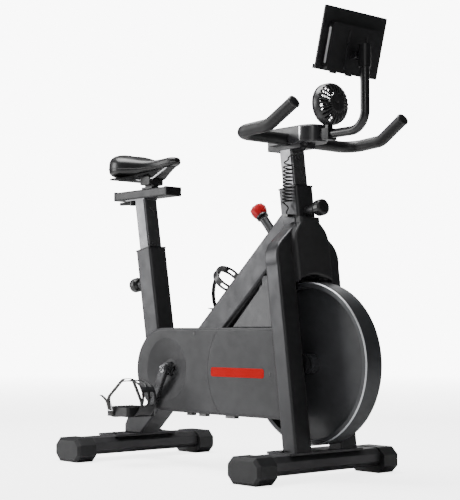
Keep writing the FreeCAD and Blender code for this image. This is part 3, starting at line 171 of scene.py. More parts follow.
def mesh_object(name, verts, faces, smooth=True):
    data = bpy.data.meshes.new(name)
    data.from_pydata([tuple(v) for v in verts], [], faces)
    data.validate()
    shell = bmesh.new()
    shell.from_mesh(data)
    bmesh.ops.remove_doubles(shell, verts=shell.verts, dist=1e-6)
    bmesh.ops.recalc_face_normals(shell, faces=shell.faces)
    for face in shell.faces:
        face.smooth = smooth
    shell.to_mesh(data)
    shell.free()
    obj = bpy.data.objects.new(name, data)
    bpy.context.collection.objects.link(obj)
    return obj


def skin(rings, closed=False, capped=True):
    """Vertices and faces of a skin over rings that all have the same number of points."""
    count = len(rings[0])
    verts = [point for ring in rings for point in ring]
    faces = []
    last = len(rings) if closed else len(rings) - 1
    for i in range(last):
        base = i * count
        after = (i + 1) % len(rings) * count
        for k in range(count):
            faces.append((base + k, base + (k + 1) % count, after + (k + 1) % count, after + k))
    if capped and not closed:
        faces.append(tuple(reversed(range(count))))
        faces.append(tuple(range((len(rings) - 1) * count, len(rings) * count)))
    return verts, faces


def lathe(name, profile, place, segments=48, wave=None):
    """Turned piece: profile is (radius, height) pairs in mm along the place's own Z."""
    rings = []
    for radius, height in profile:
        ring = []
        for k in range(segments):
            angle = 2 * math.pi * k / segments
            reach = radius * (wave(angle, height) if wave else 1.0)
            ring.append(place @ (Vector((reach * math.cos(angle), reach * math.sin(angle), height)) * MM))
        rings.append(ring)
    return mesh_object(name, *skin(rings))


def plate(name, outline, thickness, place, edge=0.0):
    """Flat piece: outline is (x, y) pairs in mm in the place's own XY, with an optional soft edge."""
    middle = Vector((sum(p[0] for p in outline), sum(p[1] for p in outline))) / len(outline)

    def ring(shrink, height):
        points = []
        for x, y in outline:
            away = Vector((x, y)) - middle
            inner = away * (1 - shrink / max(away.length, 1e-3))
            points.append(place @ (Vector((middle.x + inner.x, middle.y + inner.y, height)) * MM))
        return points

    levels = [(edge, 0), (0, edge), (0, thickness - edge), (edge, thickness)] if edge else \
        [(0, 0), (0, thickness)]
    return mesh_object(name, *skin([ring(*level) for level in levels]), smooth=False)


def rounded_rectangle(width, height, radius, steps=6):
    points = []
    for cx, cy, start in ((1, 1, 0), (-1, 1, 90), (-1, -1, 180), (1, -1, 270)):
        for k in range(steps + 1):
            angle = math.radians(start + 90 * k / steps)
            points.append((cx * (width / 2 - radius) + radius * math.cos(angle),
                           cy * (height / 2 - radius) + radius * math.sin(angle)))
    return points


def rounded_path(points, radius, closed=True, steps=6):
    """The polygon's corners are replaced by short arcs."""
    points = [Vector(point) for point in points]
    out = []
    count = len(points)
    for i, point in enumerate(points):
        if not closed and i in (0, count - 1):
            out.append(point)
            continue
        before = points[i - 1] - point
        after = points[(i + 1) % count] - point
        reach = min(radius, before.length * 0.45, after.length * 0.45)
        start = point + before.normalized() * reach
        end = point + after.normalized() * reach
        for k in range(steps + 1):
            part = k / steps
            out.append(start * (1 - part) ** 2 + point * 2 * part * (1 - part) + end * part ** 2)
    return out


def band(name, path, across, width, thickness, closed=True):
    """Strap of even width along a path in metres; across is the direction of its width."""
    across = Vector(across).normalized()
    count = len(path)
    rings = []
    corner = 0.35 * thickness
    section = [(-0.5, -0.5), (0.5, -0.5), (0.5, 0.5), (-0.5, 0.5)]
    for i, point in enumerate(path):
        after = path[(i + 1) % count] if closed or i < count - 1 else point
        before = path[i - 1] if closed or i > 0 else point
        along = (after - before).normalized()
        out = along.cross(across).normalized()
        ring = []
        for u, v in section:
            for du, dv in ((0, -1), (-1, 0)) if u * v > 0 else ((-1, 0), (0, -1)):
                pu = u * width + math.copysign(corner, u) * du
                pv = v * thickness + math.copysign(corner, v) * dv
                ring.append(point + across * pu + out * pv)
        rings.append(ring)
    return mesh_object(name, *skin(rings, closed=closed))


def frame_at(origin, z_way, x_hint=(0, 0, 1)):
    """Matrix with its own Z along z_way; origin in mm."""
    z = Vector(z_way).normalized()
    x = Vector(x_hint) - z * Vector(x_hint).dot(z)
    x = x.normalized() if x.length > 1e-4 else z.orthogonal().normalized()
    y = z.cross(x)
    turn = Matrix((x, y, z)).transposed().to_4x4()
    return Matrix.Translation(Vector(origin) * MM) @ turn


def soften(obj, width, segments=2, angle=35):
    bevel = obj.modifiers.new("edge", "BEVEL")
    bevel.width = width * MM
    bevel.segments = segments
    bevel.limit_method = "ANGLE"
    bevel.angle_limit = math.radians(angle)
    bevel.use_clamp_overlap = True


def piece(obj, body, look, *nodes):
    """Gives a piece its material, its body and the CAD nodes it stands for."""
    paint(obj, look)
    if nodes:
        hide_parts(*nodes)
    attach(obj, body)
    return obj


# ------------------------------------------------------------------ materials

def noise(tree, place, scale, detail, seed):
    node = tree.nodes.new("ShaderNodeTexNoise")
    node.noise_dimensions = "4D"
    node.inputs["W"].default_value = seed
    node.inputs["Scale"].default_value = scale
    node.inputs["Detail"].default_value = detail
    tree.links.new(place, node.inputs["Vector"])
    return node.outputs["Fac"]


def spread(tree, source, low, high, start=0.3, end=0.7):
    node = tree.nodes.new("ShaderNodeMapRange")
    node.inputs["From Min"].default_value = start
    node.inputs["From Max"].default_value = end
    node.inputs["To Min"].default_value = low
    node.inputs["To Max"].default_value = high
    tree.links.new(source, node.inputs["Value"])
    return node.outputs["Result"]


def mix_colour(tree, factor, first, second):
    node = tree.nodes.new("ShaderNodeMix")
    node.data_type = "RGBA"
    tree.links.new(factor, node.inputs["Factor"])
    for socket, value in ((node.inputs["A"], first), (node.inputs["B"], second)):
        if isinstance(value, tuple):
            socket.default_value = (*value, 1.0)
        else:
            tree.links.new(value, socket)
    return node.outputs["Result"]


def make_material(name, colour, rough, grain, depth, metal=0.0, shine=0.3, coat=0.0, wear=0.0,
                  blotch=0.18, sheen=0.0):
    """Surface with grain bump, uneven roughness, faint blotches and worn edges."""
    mat = bpy.data.materials.new("look_" + name)
    mat.use_nodes = True
    tree = mat.node_tree
    shader = tree.nodes["Principled BSDF"]
    shader.inputs["Metallic"].default_value = metal
    shader.inputs["Specular IOR Level"].default_value = shine
    shader.inputs["Coat Weight"].default_value = coat
    shader.inputs["Coat Roughness"].default_value = 0.12
    shader.inputs["Sheen Weight"].default_value = sheen
    place = tree.nodes.new("ShaderNodeTexCoord").outputs["Object"]
    cloud = noise(tree, place, 9.0, 5.0, 1.7)
    fine = noise(tree, place, grain, 2.0, 4.2)
    smudge = noise(tree, place, 34.0, 3.0, 8.8)
    tree.links.new(spread(tree, smudge, rough - 0.06, rough + 0.08), shader.inputs["Roughness"])
    low = tuple(c * (1 - blotch) for c in colour)
    high = tuple(min(1.0, c * (1 + blotch)) for c in colour)
    tint = mix_colour(tree, spread(tree, cloud, 0.0, 1.0), low, high)
    if wear:
        edge = tree.nodes.new("ShaderNodeNewGeometry").outputs["Pointiness"]
        bright = tuple(min(1.0, c * 2.2 + 0.02) for c in colour)
        tint = mix_colour(tree, spread(tree, edge, 0.0, wear, 0.53, 0.62), tint, bright)
    tree.links.new(tint, shader.inputs["Base Color"])
    bump = tree.nodes.new("ShaderNodeBump")
    bump.inputs["Strength"].default_value = depth
    bump.inputs["Distance"].default_value = 0.35 * MM
    tree.links.new(fine, bump.inputs["Height"])
    tree.links.new(bump.outputs["Normal"], shader.inputs["Normal"])
    return mat


DARK = (0.022, 0.022, 0.024)
BLACK = (0.008, 0.008, 0.009)
STEEL = (0.52, 0.52, 0.53)
# slot: colour, roughness, grain scale, grain depth, then what differs
LOOKS = {
    "frame_paint": ((0.040, 0.040, 0.042), 0.36, 1100, 0.08, {"metal": 0.55, "wear": 0.5}),
    "post_paint": ((0.13, 0.13, 0.135), 0.30, 1100, 0.06, {"metal": 0.85, "wear": 0.4}),
    "rail_paint": (DARK, 0.38, 1100, 0.08, {"wear": 0.5}),
    "crank_paint": ((0.07, 0.07, 0.073), 0.26, 900, 0.03, {"metal": 0.7}),
    "yoke_steel": (BLACK, 0.45, 1000, 0.10, {"wear": 0.5}),
    "stalk_paint": (BLACK, 0.30, 1000, 0.06, {"shine": 0.5}),
    "end_cap_plastic": ((0.011, 0.011, 0.012), 0.48, 1500, 0.25, {}),
    "shroud_plastic": ((0.020, 0.020, 0.021), 0.46, 1500, 0.18, {}),
    "bush_plastic": (BLACK, 0.40, 1500, 0.15, {}),
    "cover_plastic": ((0.034, 0.034, 0.036), 0.50, 1400, 0.22, {}),
    "cover_back_plastic": (BLACK, 0.60, 1400, 0.25, {}),
    "panel_plastic": ((0.075, 0.075, 0.078), 0.42, 1400, 0.18, {}),
    "cage_plastic": (BLACK, 0.28, 1200, 0.08, {"shine": 0.5}),
    "pulley_plastic": (BLACK, 0.45, 1200, 0.15, {}),
    "pedal_plastic": (BLACK, 0.40, 1500, 0.22, {"shine": 0.4}),
    "knob_plastic": (BLACK, 0.36, 1500, 0.18, {"shine": 0.45}),
    "rail_cap_plastic": (BLACK, 0.40, 1500, 0.15, {}),
    "saddle_base_plastic": (BLACK, 0.50, 1500, 0.25, {}),
    "console_plastic": ((0.020, 0.020, 0.022), 0.30, 1400, 0.10, {"shine": 0.5}),
    "socket_plastic": (BLACK, 0.38, 1500, 0.15, {}),
    "tablet_plastic": ((0.014, 0.014, 0.015), 0.40, 1500, 0.20, {}),
    "fan_plastic": ((0.016, 0.016, 0.017), 0.32, 1500, 0.08, {"shine": 0.45}),
    "blade_plastic": ((0.030, 0.030, 0.032), 0.30, 1500, 0.05, {"shine": 0.5}),
    "label_red": ((0.42, 0.0, 0.0), 0.5, 900, 0.04, {"shine": 0.06, "blotch": 0.05}),
    # pale non-metal colour for the strip on the tablet tray's side, which paints a highlight line
    "pale_highlight_paint": ((0.6, 0.6, 0.61), 0.4, 900, 0.05, {}),
    "badge_green": ((0.02, 0.32, 0.05), 0.35, 900, 0.05, {"shine": 0.5}),
    "red_knob_plastic": ((0.42, 0.006, 0.010), 0.38, 900, 0.05, {"shine": 0.25, "blotch": 0.08}),
    "belt_rubber": (BLACK, 0.70, 1200, 0.35, {}),
    "cord_rubber": ((0.008, 0.008, 0.008), 0.42, 1200, 0.15, {}),
    "strap_leather": ((0.014, 0.013, 0.012), 0.55, 420, 0.45, {"sheen": 0.05}),
    "saddle_skin": ((0.006, 0.006, 0.0065), 0.36, 650, 0.22, {"shine": 0.45}),
    "grip_foam": ((0.006, 0.006, 0.0065), 0.46, 1300, 0.35, {"shine": 0.4}),
    "fastener_steel": ((0.06, 0.06, 0.06), 0.35, 900, 0.10, {"metal": 1.0, "wear": 0.5}),
    "bearing_steel": (STEEL, 0.28, 1500, 0.10, {"metal": 1.0}),
    "axle_steel": (STEEL, 0.30, 1500, 0.12, {"metal": 1.0}),
    "bolt_chrome": ((0.72, 0.72, 0.74), 0.14, 700, 0.03, {"metal": 1.0}),
    "magnet_metal": (STEEL, 0.25, 900, 0.08, {"metal": 1.0}),
    "rail_steel": ((0.45, 0.45, 0.46), 0.24, 900, 0.06, {"metal": 1.0}),
    "clamp_metal": ((0.03, 0.03, 0.03), 0.42, 900, 0.15, {"wear": 0.5}),
}
RIM_CENTRE = (0.3265, 0.0, 0.308)
RIM_BRIGHT = (0.2170, 0.2206)


def make_flywheel_iron():
    """Painted cast web inside a turned, bright rim."""
    mat = make_material("flywheel_iron", (0.030, 0.031, 0.034), 0.42, 900, 0.3, wear=0.3)
    tree = mat.node_tree
    shader = tree.nodes["Principled BSDF"]
    place = tree.nodes.new("ShaderNodeTexCoord").outputs["Object"]
    away = tree.nodes.new("ShaderNodeVectorMath")
    away.operation = "SUBTRACT"
    away.inputs[1].default_value = RIM_CENTRE
    tree.links.new(place, away.inputs[0])
    flat = tree.nodes.new("ShaderNodeVectorMath")
    flat.operation = "MULTIPLY"
    flat.inputs[1].default_value = (1.0, 0.0, 1.0)
    tree.links.new(away.outputs[0], flat.inputs[0])
    reach = tree.nodes.new("ShaderNodeVectorMath")
    reach.operation = "LENGTH"
    tree.links.new(flat.outputs[0], reach.inputs[0])
    radius = reach.outputs["Value"]
    inside = spread(tree, radius, 0.0, 1.0, RIM_BRIGHT[0], RIM_BRIGHT[0] + 0.3 * MM)
    outside = spread(tree, radius, 1.0, 0.0, RIM_BRIGHT[1], RIM_BRIGHT[1] + 0.2 * MM)
    both = tree.nodes.new("ShaderNodeMath")
    both.operation = "MULTIPLY"
    tree.links.new(inside, both.inputs[0])
    tree.links.new(outside, both.inputs[1])
    turned = both.outputs[0]
    paint_colour = shader.inputs["Base Color"].links[0].from_socket
    tree.links.new(mix_colour(tree, turned, paint_colour, (0.50, 0.51, 0.53)),
                   shader.inputs["Base Color"])
    tree.links.new(turned, shader.inputs["Metallic"])
    return mat


MATERIALS = {}


def material(slot):
    if slot not in MATERIALS:
        if slot == "flywheel_iron":
            MATERIALS[slot] = make_flywheel_iron()
        else:
            colour, rough, grain, depth, extra = LOOKS[slot]
            MATERIALS[slot] = make_material(slot, colour, rough, grain, depth, **extra)
    return MATERIALS[slot]


def paint(obj, slot):
    obj.data.materials.clear()
    obj.data.materials.append(material(slot))


paint(cord, "cord_rubber")

# CAD nodes whose edges are too small or too round already to be softened
PLAIN_NODES = ("crank_arm_right", "crank_arm_left", "crank_bolts_and_axles", "drive_belt",
               "handlebar", "tablet_stalk", "saddle_rails")
SOFT_EDGE = 0.8


def finish_nodes():
    for name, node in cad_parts.items():
        for slot in node.material_slots:
            slot.material = material(slot.material.name.split(".")[0])
        if name in PLAIN_NODES:
            continue
        weld = node.modifiers.new("weld", "WELD")
        weld.merge_threshold = 0.01 * MM
        soften(node, SOFT_EDGE)
        even = node.modifiers.new("even", "WEIGHTED_NORMAL")
        even.keep_sharp = True


finish_nodes()

# ------------------------------------------------------------------ saddle

# station x, half width, top, foot, all in mm
SADDLE = [(-533, 30, 942, 897), (-528, 52, 952, 886), (-518, 72, 957, 881), (-500, 86, 959, 880),
          (-478, 94, 957, 880), (-455, 94, 952, 880), (-432, 84, 945, 882), (-408, 66, 938, 887),
          (-384, 50, 932, 891), (-355, 38, 929, 896), (-325, 30, 931, 899), (-298, 26, 935, 903),
          (-278, 22, 937, 906), (-264, 17, 934, 910), (-257, 9, 928, 915)]
SADDLE_AROUND = 40
GROOVE = 2.6
WAIST = 0.42
CLOTH_FRAMES = 20
CLOTH_PRESSURE = 4.0
CLOTH_MOST = 1.6 * MM


def saddle_ring(x, half, top, foot):
    """Crowned top, rolled sides and a flat underside, with a shallow channel along the middle."""
    middle = foot + WAIST * (top - foot)
    ring = []
    for k in range(SADDLE_AROUND):
        angle = 2 * math.pi * k / SADDLE_AROUND
        c = math.cos(angle)
        s = math.sin(angle)
        y = half * math.copysign(abs(c) ** 0.72, c)
        if s >= 0:
            z = middle + (top - middle) * s ** 0.72
            z -= GROOVE * math.exp(-(y / 9.0) ** 2) * min(1.0, half / 60)
        else:
            z = middle - (middle - foot) * abs(s) ** 0.5
        ring.append(Vector((x, y, z)) * MM)
    return ring


def inflate(obj, pressure, cap):
    """Moves each point the way a blown-up cloth goes, by no more than cap, which nearly all reach."""
    rest = [v.co.copy() for v in obj.data.vertices]
    cloth = obj.modifiers.new("cloth", "CLOTH")
    cloth.settings.use_pressure = True
    cloth.settings.uniform_pressure_force = pressure
    cloth.settings.effector_weights.gravity = 0.0
    cloth.settings.tension_stiffness = 40
    cloth.settings.bending_stiffness = 4
    cloth.point_cache.frame_start = 1
    cloth.point_cache.frame_end = CLOTH_FRAMES
    scene = bpy.context.scene
    for step in range(1, CLOTH_FRAMES + 1):
        scene.frame_set(step)
    graph = bpy.context.evaluated_depsgraph_get()
    blown = [v.co.copy() for v in obj.evaluated_get(graph).data.vertices]
    obj.modifiers.remove(cloth)
    scene.frame_set(1)
    for vertex, start, end in zip(obj.data.vertices, rest, blown):
        move = end - start
        if move.length > cap:
            move = move.normalized() * cap
        vertex.co = start + move


def saddle():
    rings = [saddle_ring(*station) for station in SADDLE]
    cover = mesh_object("saddle_cover", *skin(rings))
    inflate(cover, CLOTH_PRESSURE, CLOTH_MOST)
    smooth = cover.modifiers.new("smooth", "SUBSURF")
    smooth.levels = 2
    smooth.render_levels = 2
    piece(cover, "saddle", "saddle_skin", "saddle_pad")
    lower = []
    for x, half, top, foot in SADDLE:
        height = foot + WAIST * (top - foot) - 4
        lower.append((x, half * 0.985, height))
    route = [Vector(p) * MM for p in lower] + [Vector((x, -y, z)) * MM for x, y, z in reversed(lower)]
    seam = make_curve("saddle_seam", route, 1.3 * MM, cyclic=True)
    piece(seam, "saddle", "saddle_skin")


saddle()

# ------------------------------------------------------------------ pedals

PEDAL_CENTRE = {"right": Vector((-258.06, -177, 158.26)), "left": Vector((-130.94, 177, 407.74))}


def on_pedal(name, x, out, up):
    """Point beside a pedal: out is away from the bike."""
    return (PEDAL_CENTRE[name] + Vector((x, SIDES[name] * out, up))) * MM


STRAP_X = -20
STRAP_ROUTE = [(-53.2, -15.4), (53.2, -15.4), (69, 42), (14, 95), (-20, 95), (-56, 22)]
BUCKLE_AT = (62, 16)
BUCKLE_LEAN = 15.4


def toe_strap(name):
    body = name + "_pedal"
    route = [on_pedal(name, STRAP_X, out, up) for out, up in STRAP_ROUTE]
    strap = band("toe_webbing_" + name, rounded_path(route, 9 * MM), (1, 0, 0), 15 * MM, 2 * MM)
    piece(strap, body, "strap_leather", "toe_strap_" + name)
    lean = math.radians(BUCKLE_LEAN)
    way = Vector((0, SIDES[name] * math.sin(lean), math.cos(lean)))
    out = Vector((0, SIDES[name] * math.cos(lean), -math.sin(lean)))
    middle = on_pedal(name, STRAP_X, *BUCKLE_AT) + out * 2.6 * MM
    loop = [middle + Vector((1, 0, 0)) * u * MM + way * v * MM
            for u, v in rounded_rectangle(21, 24, 3.5)]
    buckle = make_curve("buckle_" + name, loop, 1.35 * MM, cyclic=True)
    piece(buckle, body, "bolt_chrome")
    place = frame_at(middle / MM, out, way)
    tongue = plate("buckle_plate_" + name, rounded_rectangle(13, 17, 2), 1.2, place, edge=0.3)
    piece(tongue, body, "bolt_chrome")
    tail_route = [middle + out * 1.2 * MM + way * v * MM + out * lift * MM
                  for v, lift in ((-6, 0.6), (8, 1.2), (20, 4.0), (32, 11.0), (42, 20.0))]
    tail = band("strap_tail_" + name, tail_route, (1, 0, 0), 14.6 * MM, 1.8 * MM, closed=False)
    piece(tail, body, "strap_leather")


CAGE_LINE = [(52, -8), (66, 2), (80, 18), (88, 40), (84, 62), (70, 80), (50, 89), (28, 92), (4, 91),
             (-16, 89), (-28, 88)]
CAGE_ACROSS = 12
CAGE_STEPS = 36
CAGE_HALF = 31
WINDOW_ROWS = ((8, 14), (17, 24), (27, 32))
WINDOW_LANES = ((2, 5), (7, 10))


def along_line(points, part):
    """Point at that part of the way along a polyline, by index."""
    place = part * (len(points) - 1)
    i = min(int(place), len(points) - 2)
    return Vector(points[i]).lerp(Vector(points[i + 1]), place - i)


def toe_cage(name):
    """Curved toe guard with long windows, drawn in towards its top."""
    verts = []
    for v in range(CAGE_STEPS + 1):
        x, up = along_line(CAGE_LINE, v / CAGE_STEPS)
        half = CAGE_HALF * (1 - 0.42 * v / CAGE_STEPS)
        for u in range(CAGE_ACROSS + 1):
            out = (2 * u / CAGE_ACROSS - 1) * half
            verts.append(on_pedal(name, x, out, up - 0.004 * out * out))
    faces = []
    for v in range(CAGE_STEPS):
        for u in range(CAGE_ACROSS):
            row = any(low <= v < high for low, high in WINDOW_ROWS)
            lane = any(low <= u < high for low, high in WINDOW_LANES)
            if row and lane:
                continue
            base = v * (CAGE_ACROSS + 1) + u
            faces.append((base, base + 1, base + CAGE_ACROSS + 2, base + CAGE_ACROSS + 1))
    cage = mesh_object("toe_guard_" + name, verts, faces)
    thick = cage.modifiers.new("thick", "SOLIDIFY")
    thick.thickness = 3.2 * MM
    thick.offset = 0
    smooth = cage.modifiers.new("smooth", "SUBSURF")
    smooth.levels = 1
    smooth.render_levels = 1
    piece(cage, name + "_pedal", "pedal_plastic", "toe_cage_" + name)


def merge(name, parts):
    """One mesh object from several, which are removed."""
    shell = bmesh.new()
    for part in parts:
        shell.from_mesh(part.data)
        bpy.data.objects.remove(part)
    data = bpy.data.meshes.new(name)
    shell.to_mesh(data)
    shell.free()
    obj = bpy.data.objects.new(name, data)
    bpy.context.collection.objects.link(obj)
    return obj


TREAD_ROWS = (-47.5, 0, 47.5)
TREADS = 9


def treads(name):
    """Rows of grip teeth on both faces of the platform."""
    teeth = []
    for face in (-1, 1):
        for row in TREAD_ROWS:
            for k in range(TREADS):
                out = -40 + k * 80 / (TREADS - 1)
                place = frame_at(on_pedal(name, row, out, face * 13.2) / MM, (0, 0, face), (1, 0, 0))
                teeth.append(plate("tooth", rounded_rectangle(6, 4, 1), 1.9, place, edge=0.7))
    piece(merge("treads_" + name, teeth), name + "_pedal", "pedal_plastic")


for side_name in SIDES:
    toe_strap(side_name)
    toe_cage(side_name)
    treads(side_name)

# ------------------------------------------------------------------ knobs

RED_AXIS = Vector((-0.66262, 0.0, 0.7489557))
RED_FOOT = Vector((126.5, 0, 718.5))
RED_LOBES = 9
RED_LOBE_DEPTH = 0.11


def red_knob():
    """Lobed grip knob with a dished top over a black collar."""
    place = frame_at(RED_FOOT, RED_AXIS)

    def lobes(angle, height):
        rise = min(1.0, max(0.0, (height - 6) / 8))
        return 1 - RED_LOBE_DEPTH * (0.5 - 0.5 * math.cos(RED_LOBES * angle)) * rise

    profile = [(0.1, 7), (15.5, 7), (17.5, 8.5), (20.5, 14), (22.8, 22), (23.9, 30), (23.7, 35),
               (21.8, 38.8), (17, 40.8), (11, 41.2), (9.5, 40.2), (0.1, 40)]
    knob = lathe("red_grip", profile, place, 72, lobes)
    piece(knob, "brake_knob", "red_knob_plastic", "resistance_knob")
    collar = lathe("red_grip_collar", [(7, 0.3), (17, 0.3), (17.8, 1.2), (17.8, 6.4), (16.5, 7.2),
                                       (7, 7.2)], place, 48)
    piece(collar, "brake_knob", "knob_plastic")


COLUMN = Matrix.Translation(Vector((351, 0, 76)) * MM) @ Matrix.Rotation(math.radians(-7.41), 4, "Y")
PULL_RIBS = 18
PULL_RIB_DEPTH = 0.03
PULL_RIB_FROM = 8
PULL_RIB_TO = 26


def pull_knob(name, body, node, foot, way):
    """Ribbed skirt under a smooth dome, on a bright locking pin."""
    place = frame_at(foot, way)

    def ribs(angle, height):
        if not PULL_RIB_FROM < height < PULL_RIB_TO:
            return 1.0
        return 1 - PULL_RIB_DEPTH * (0.5 - 0.5 * math.cos(PULL_RIBS * angle))

    profile = [(6, 0), (15, 0), (17.5, 1), (18, 5), (21.5, 6.5), (22.9, 9), (22.9, 25), (21.8, 29),
               (19, 31.6), (13, 33.3), (6, 33.9), (0.1, 34)]
    knob = lathe(name, profile, place, 108, ribs)
    piece(knob, body, "knob_plastic", node)
    pin = lathe(name + "_pin", [(0.1, -44), (5.2, -44), (6, -43), (6, 1)], place, 32)
    piece(pin, body, "bolt_chrome")


red_knob()
pull_knob("bar_pull_grip", "bar_pull_knob", "handlebar_height_knob",
          (COLUMN @ (Vector((71, 0, 650)) * MM)) / MM, (0.9916487, 0, 0.1289687))

# ------------------------------------------------------------------ bar ends, cover label

def bar_plugs():
    for side in SIDES.values():
        tip = Vector((468, side * 212, 984))
        way = tip - Vector((381, side * 219, 933))
        place = frame_at(tip - way.normalized() * 4, way)
        plug = lathe(f"bar_plug_{side + 1}", [(17.3, 0), (17.9, 1), (17.9, 4), (16.8, 6.4), (13, 7.9),
                                            (7, 8.7), (0.1, 9)], place, 48)
        piece(plug, "handlebar", "knob_plastic")


bar_plugs()


def cover_label():
    place = frame_at((117.75, -94.0, 279.5), (0, -1, 0), (1, 0, 0))
    label = plate("cover_stripe", rounded_rectangle(220, 26, 7), 0.7, place, edge=0.2)
    piece(label, "frame", "label_red")


cover_label()

# ------------------------------------------------------------------ fan

FAN_CENTRE = Vector((399.5, 0, 1011))
FAN_SLOTS = 26
# radius and height of the guard behind the blades, from its rim to its middle
FAN_BACK = [(56.4, -20), (56.9, -10), (56.6, 0), (54.5, 7), (50.5, 12.5), (44, 16.5), (36, 19),
            (27, 20.6), (18, 21.4), (9, 21.7), (0.6, 21.7)]
FAN_FRONT = [(56.4, -20), (54, -21), (47, -21.5), (39, -21.7), (30, -21.8), (21, -21.8), (14, -21.8),
             (7, -21.8), (0.6, -21.8)]


def guard(name, profile, open_from, open_to):
    """Moulded fan guard with radial slots between two of its rings."""
    count = FAN_SLOTS * 4
    place = frame_at(FAN_CENTRE, (1, 0, 0))
    verts = []
    for radius, height in profile:
        for k in range(count):
            angle = 2 * math.pi * k / count
            verts.append(place @ (Vector((radius * math.cos(angle), radius * math.sin(angle), height)) * MM))
    faces = []
    for i in range(len(profile) - 1):
        for k in range(count):
            if open_from <= i < open_to and k % 4 in (0, 1):
                continue
            after = (k + 1) % count
            faces.append((i * count + k, i * count + after, (i + 1) * count + after, (i + 1) * count + k))
    shell = mesh_object(name, verts, faces)
    thick = shell.modifiers.new("thick", "SOLIDIFY")
    thick.thickness = 1.8 * MM
    thick.offset = 0
    return shell


def fan():
    piece(guard("fan_back_guard", FAN_BACK, 3, 7), "fan", "fan_plastic", "fan_cage")
    piece(guard("fan_front_guard", FAN_FRONT, 2, 6), "fan", "fan_plastic")
    for side in (-1, 1):
        outline = [(-5, -5), (5, -5), (5, 4), (4, 8), (-4, 8), (-5, 4)]
        place = Matrix.Translation(Vector((388, side * 8.4 + 1.8, 951)) * MM) @ Matrix.Rotation(
            math.radians(90), 4, "X")
        ear = plate(f"fan_ear_{side + 1}", outline, 3.6, place, edge=0.5)
        piece(ear, "fan", "fan_plastic")


fan()

# ------------------------------------------------------------------ bottle cage

MAIN_AXIS = Matrix.Translation(Vector((-194.5, 0, 283)) * MM) @ Matrix.Rotation(
    math.radians(-41.5), 4, "Y")
TUBE_TOP = 41.0
RING_AT = 302
RING_WIDTH = 24
RING_RADIUS = 42.6
RING_WINDOW_LANES = (2, 3)
RING_WINDOW_CELLS = range(6, 11)
RING_MIDDLE = TUBE_TOP + 45
ARM_ROUTE = [(204, 42), (206, 60), (214, 82), (230, 104), (252, 119), (276, 127), (302, 129)]


def on_main(station, y, height):
    return MAIN_AXIS @ (Vector((station, y, height)) * MM)


def bottle_cage():
    """Slotted ring, a curved arm down to the foot and the back strip, all one moulding."""
    count = 64
    lanes = 6
    verts = []
    for u in range(lanes + 1):
        station = RING_AT + (u / lanes - 0.5) * RING_WIDTH
        for k in range(count):
            angle = 2 * math.pi * k / count
            verts.append(on_main(station, RING_RADIUS * math.sin(angle),
                                 RING_MIDDLE + RING_RADIUS * math.cos(angle)))
    faces = []
    for u in range(lanes):
        for k in range(count):
            if u in RING_WINDOW_LANES and k % 16 in RING_WINDOW_CELLS:
                continue
            after = (k + 1) % count
            faces.append((u * count + k, u * count + after, (u + 1) * count + after, (u + 1) * count + k))
    ring = mesh_object("bottle_ring", verts, faces)
    thick = ring.modifiers.new("thick", "SOLIDIFY")
    thick.thickness = 3.8 * MM
    thick.offset = 0
    smooth = ring.modifiers.new("smooth", "SUBSURF")
    smooth.levels = 1
    smooth.render_levels = 1
    piece(ring, "frame", "cage_plastic", "bottle_cage")
    route = rounded_path([on_main(s, 0, h) for s, h in ARM_ROUTE], 12 * MM, closed=False)
    arm = band("bottle_arm", route, (0, 1, 0), 14 * MM, 3.4 * MM, closed=False)
    piece(arm, "frame", "cage_plastic")
    strip = band("bottle_back", [on_main(s, 0, TUBE_TOP + 2.4) for s in (204, 250, 300, 350)],
                 (0, 1, 0), 26 * MM, 4.4 * MM, closed=False)
    soften(strip, 1.0)
    piece(strip, "frame", "cage_plastic")
    lip = band("bottle_lip", [on_main(s, 0, h) for s, h in ((206, 44), (203, 56), (196, 66), (192, 70))],
               (0, 1, 0), 30 * MM, 3.2 * MM, closed=False)
    soften(lip, 1.0)
    piece(lip, "frame", "cage_plastic")


bottle_cage()

# ------------------------------------------------------------------ tablet holder details

TABLET = Matrix.Translation(Vector((471.5, 0, 1166.5)) * MM) @ Matrix.Rotation(
    math.radians(14.5), 4, "Y")
TABLET_OUT = TABLET.to_3x3() @ Vector((1, 0, 0))
TABLET_UP = TABLET.to_3x3() @ Vector((0, 0, 1))


def on_tablet(out, y, up):
    return (TABLET @ (Vector((out, y, up)) * MM)) / MM


def tablet_details():
    """Ribs on the back of the tray, a pale strip on its side that paints a highlight, rubber pads on its
    face and end tabs.
    """
    for side in (-1, 1):
        place = frame_at(on_tablet(22.0, side * 34, -22), TABLET_OUT, TABLET_UP)
        rib = plate(f"tray_rib_{side + 1}", rounded_rectangle(104, 7, 3), 1.6, place, edge=0.6)
        piece(rib, "tablet", "console_plastic")
    # A pale strip on the tray's near side paints a highlight line along the tray's edge.
    place = frame_at(on_tablet(12.0, -98.0, -18), (0, -1, 0), TABLET_UP)
    highlight_strip = plate("tray_painted_highlight", rounded_rectangle(96, 7, 3), 1.0, place, edge=0.3)
    piece(highlight_strip, "tablet", "pale_highlight_paint")
    for side in (-1, 1):
        place = frame_at(on_tablet(-0.2, side * 62, -6), -TABLET_OUT, TABLET_UP)
        pad = plate(f"tablet_pad_{side + 1}", rounded_rectangle(110, 18, 6), 1.6, place, edge=0.5)
        piece(pad, "tablet", "belt_rubber")
    for up, y in ((-84.5, -60), (-84.5, 0), (-84.5, 60)):
        place = frame_at(on_tablet(10, y, up), -TABLET_UP, (0, 1, 0))
        tab = plate(f"tray_tab_{int(y) + 60}", rounded_rectangle(22, 9, 3), 4.0, place, edge=0.8)
        piece(tab, "tablet", "tablet_plastic")


tablet_details()

# ------------------------------------------------------------------ console details

NOSE_HALF = 44.6
NOSE_FROM = 322
CONSOLE_FRONT = 364.6


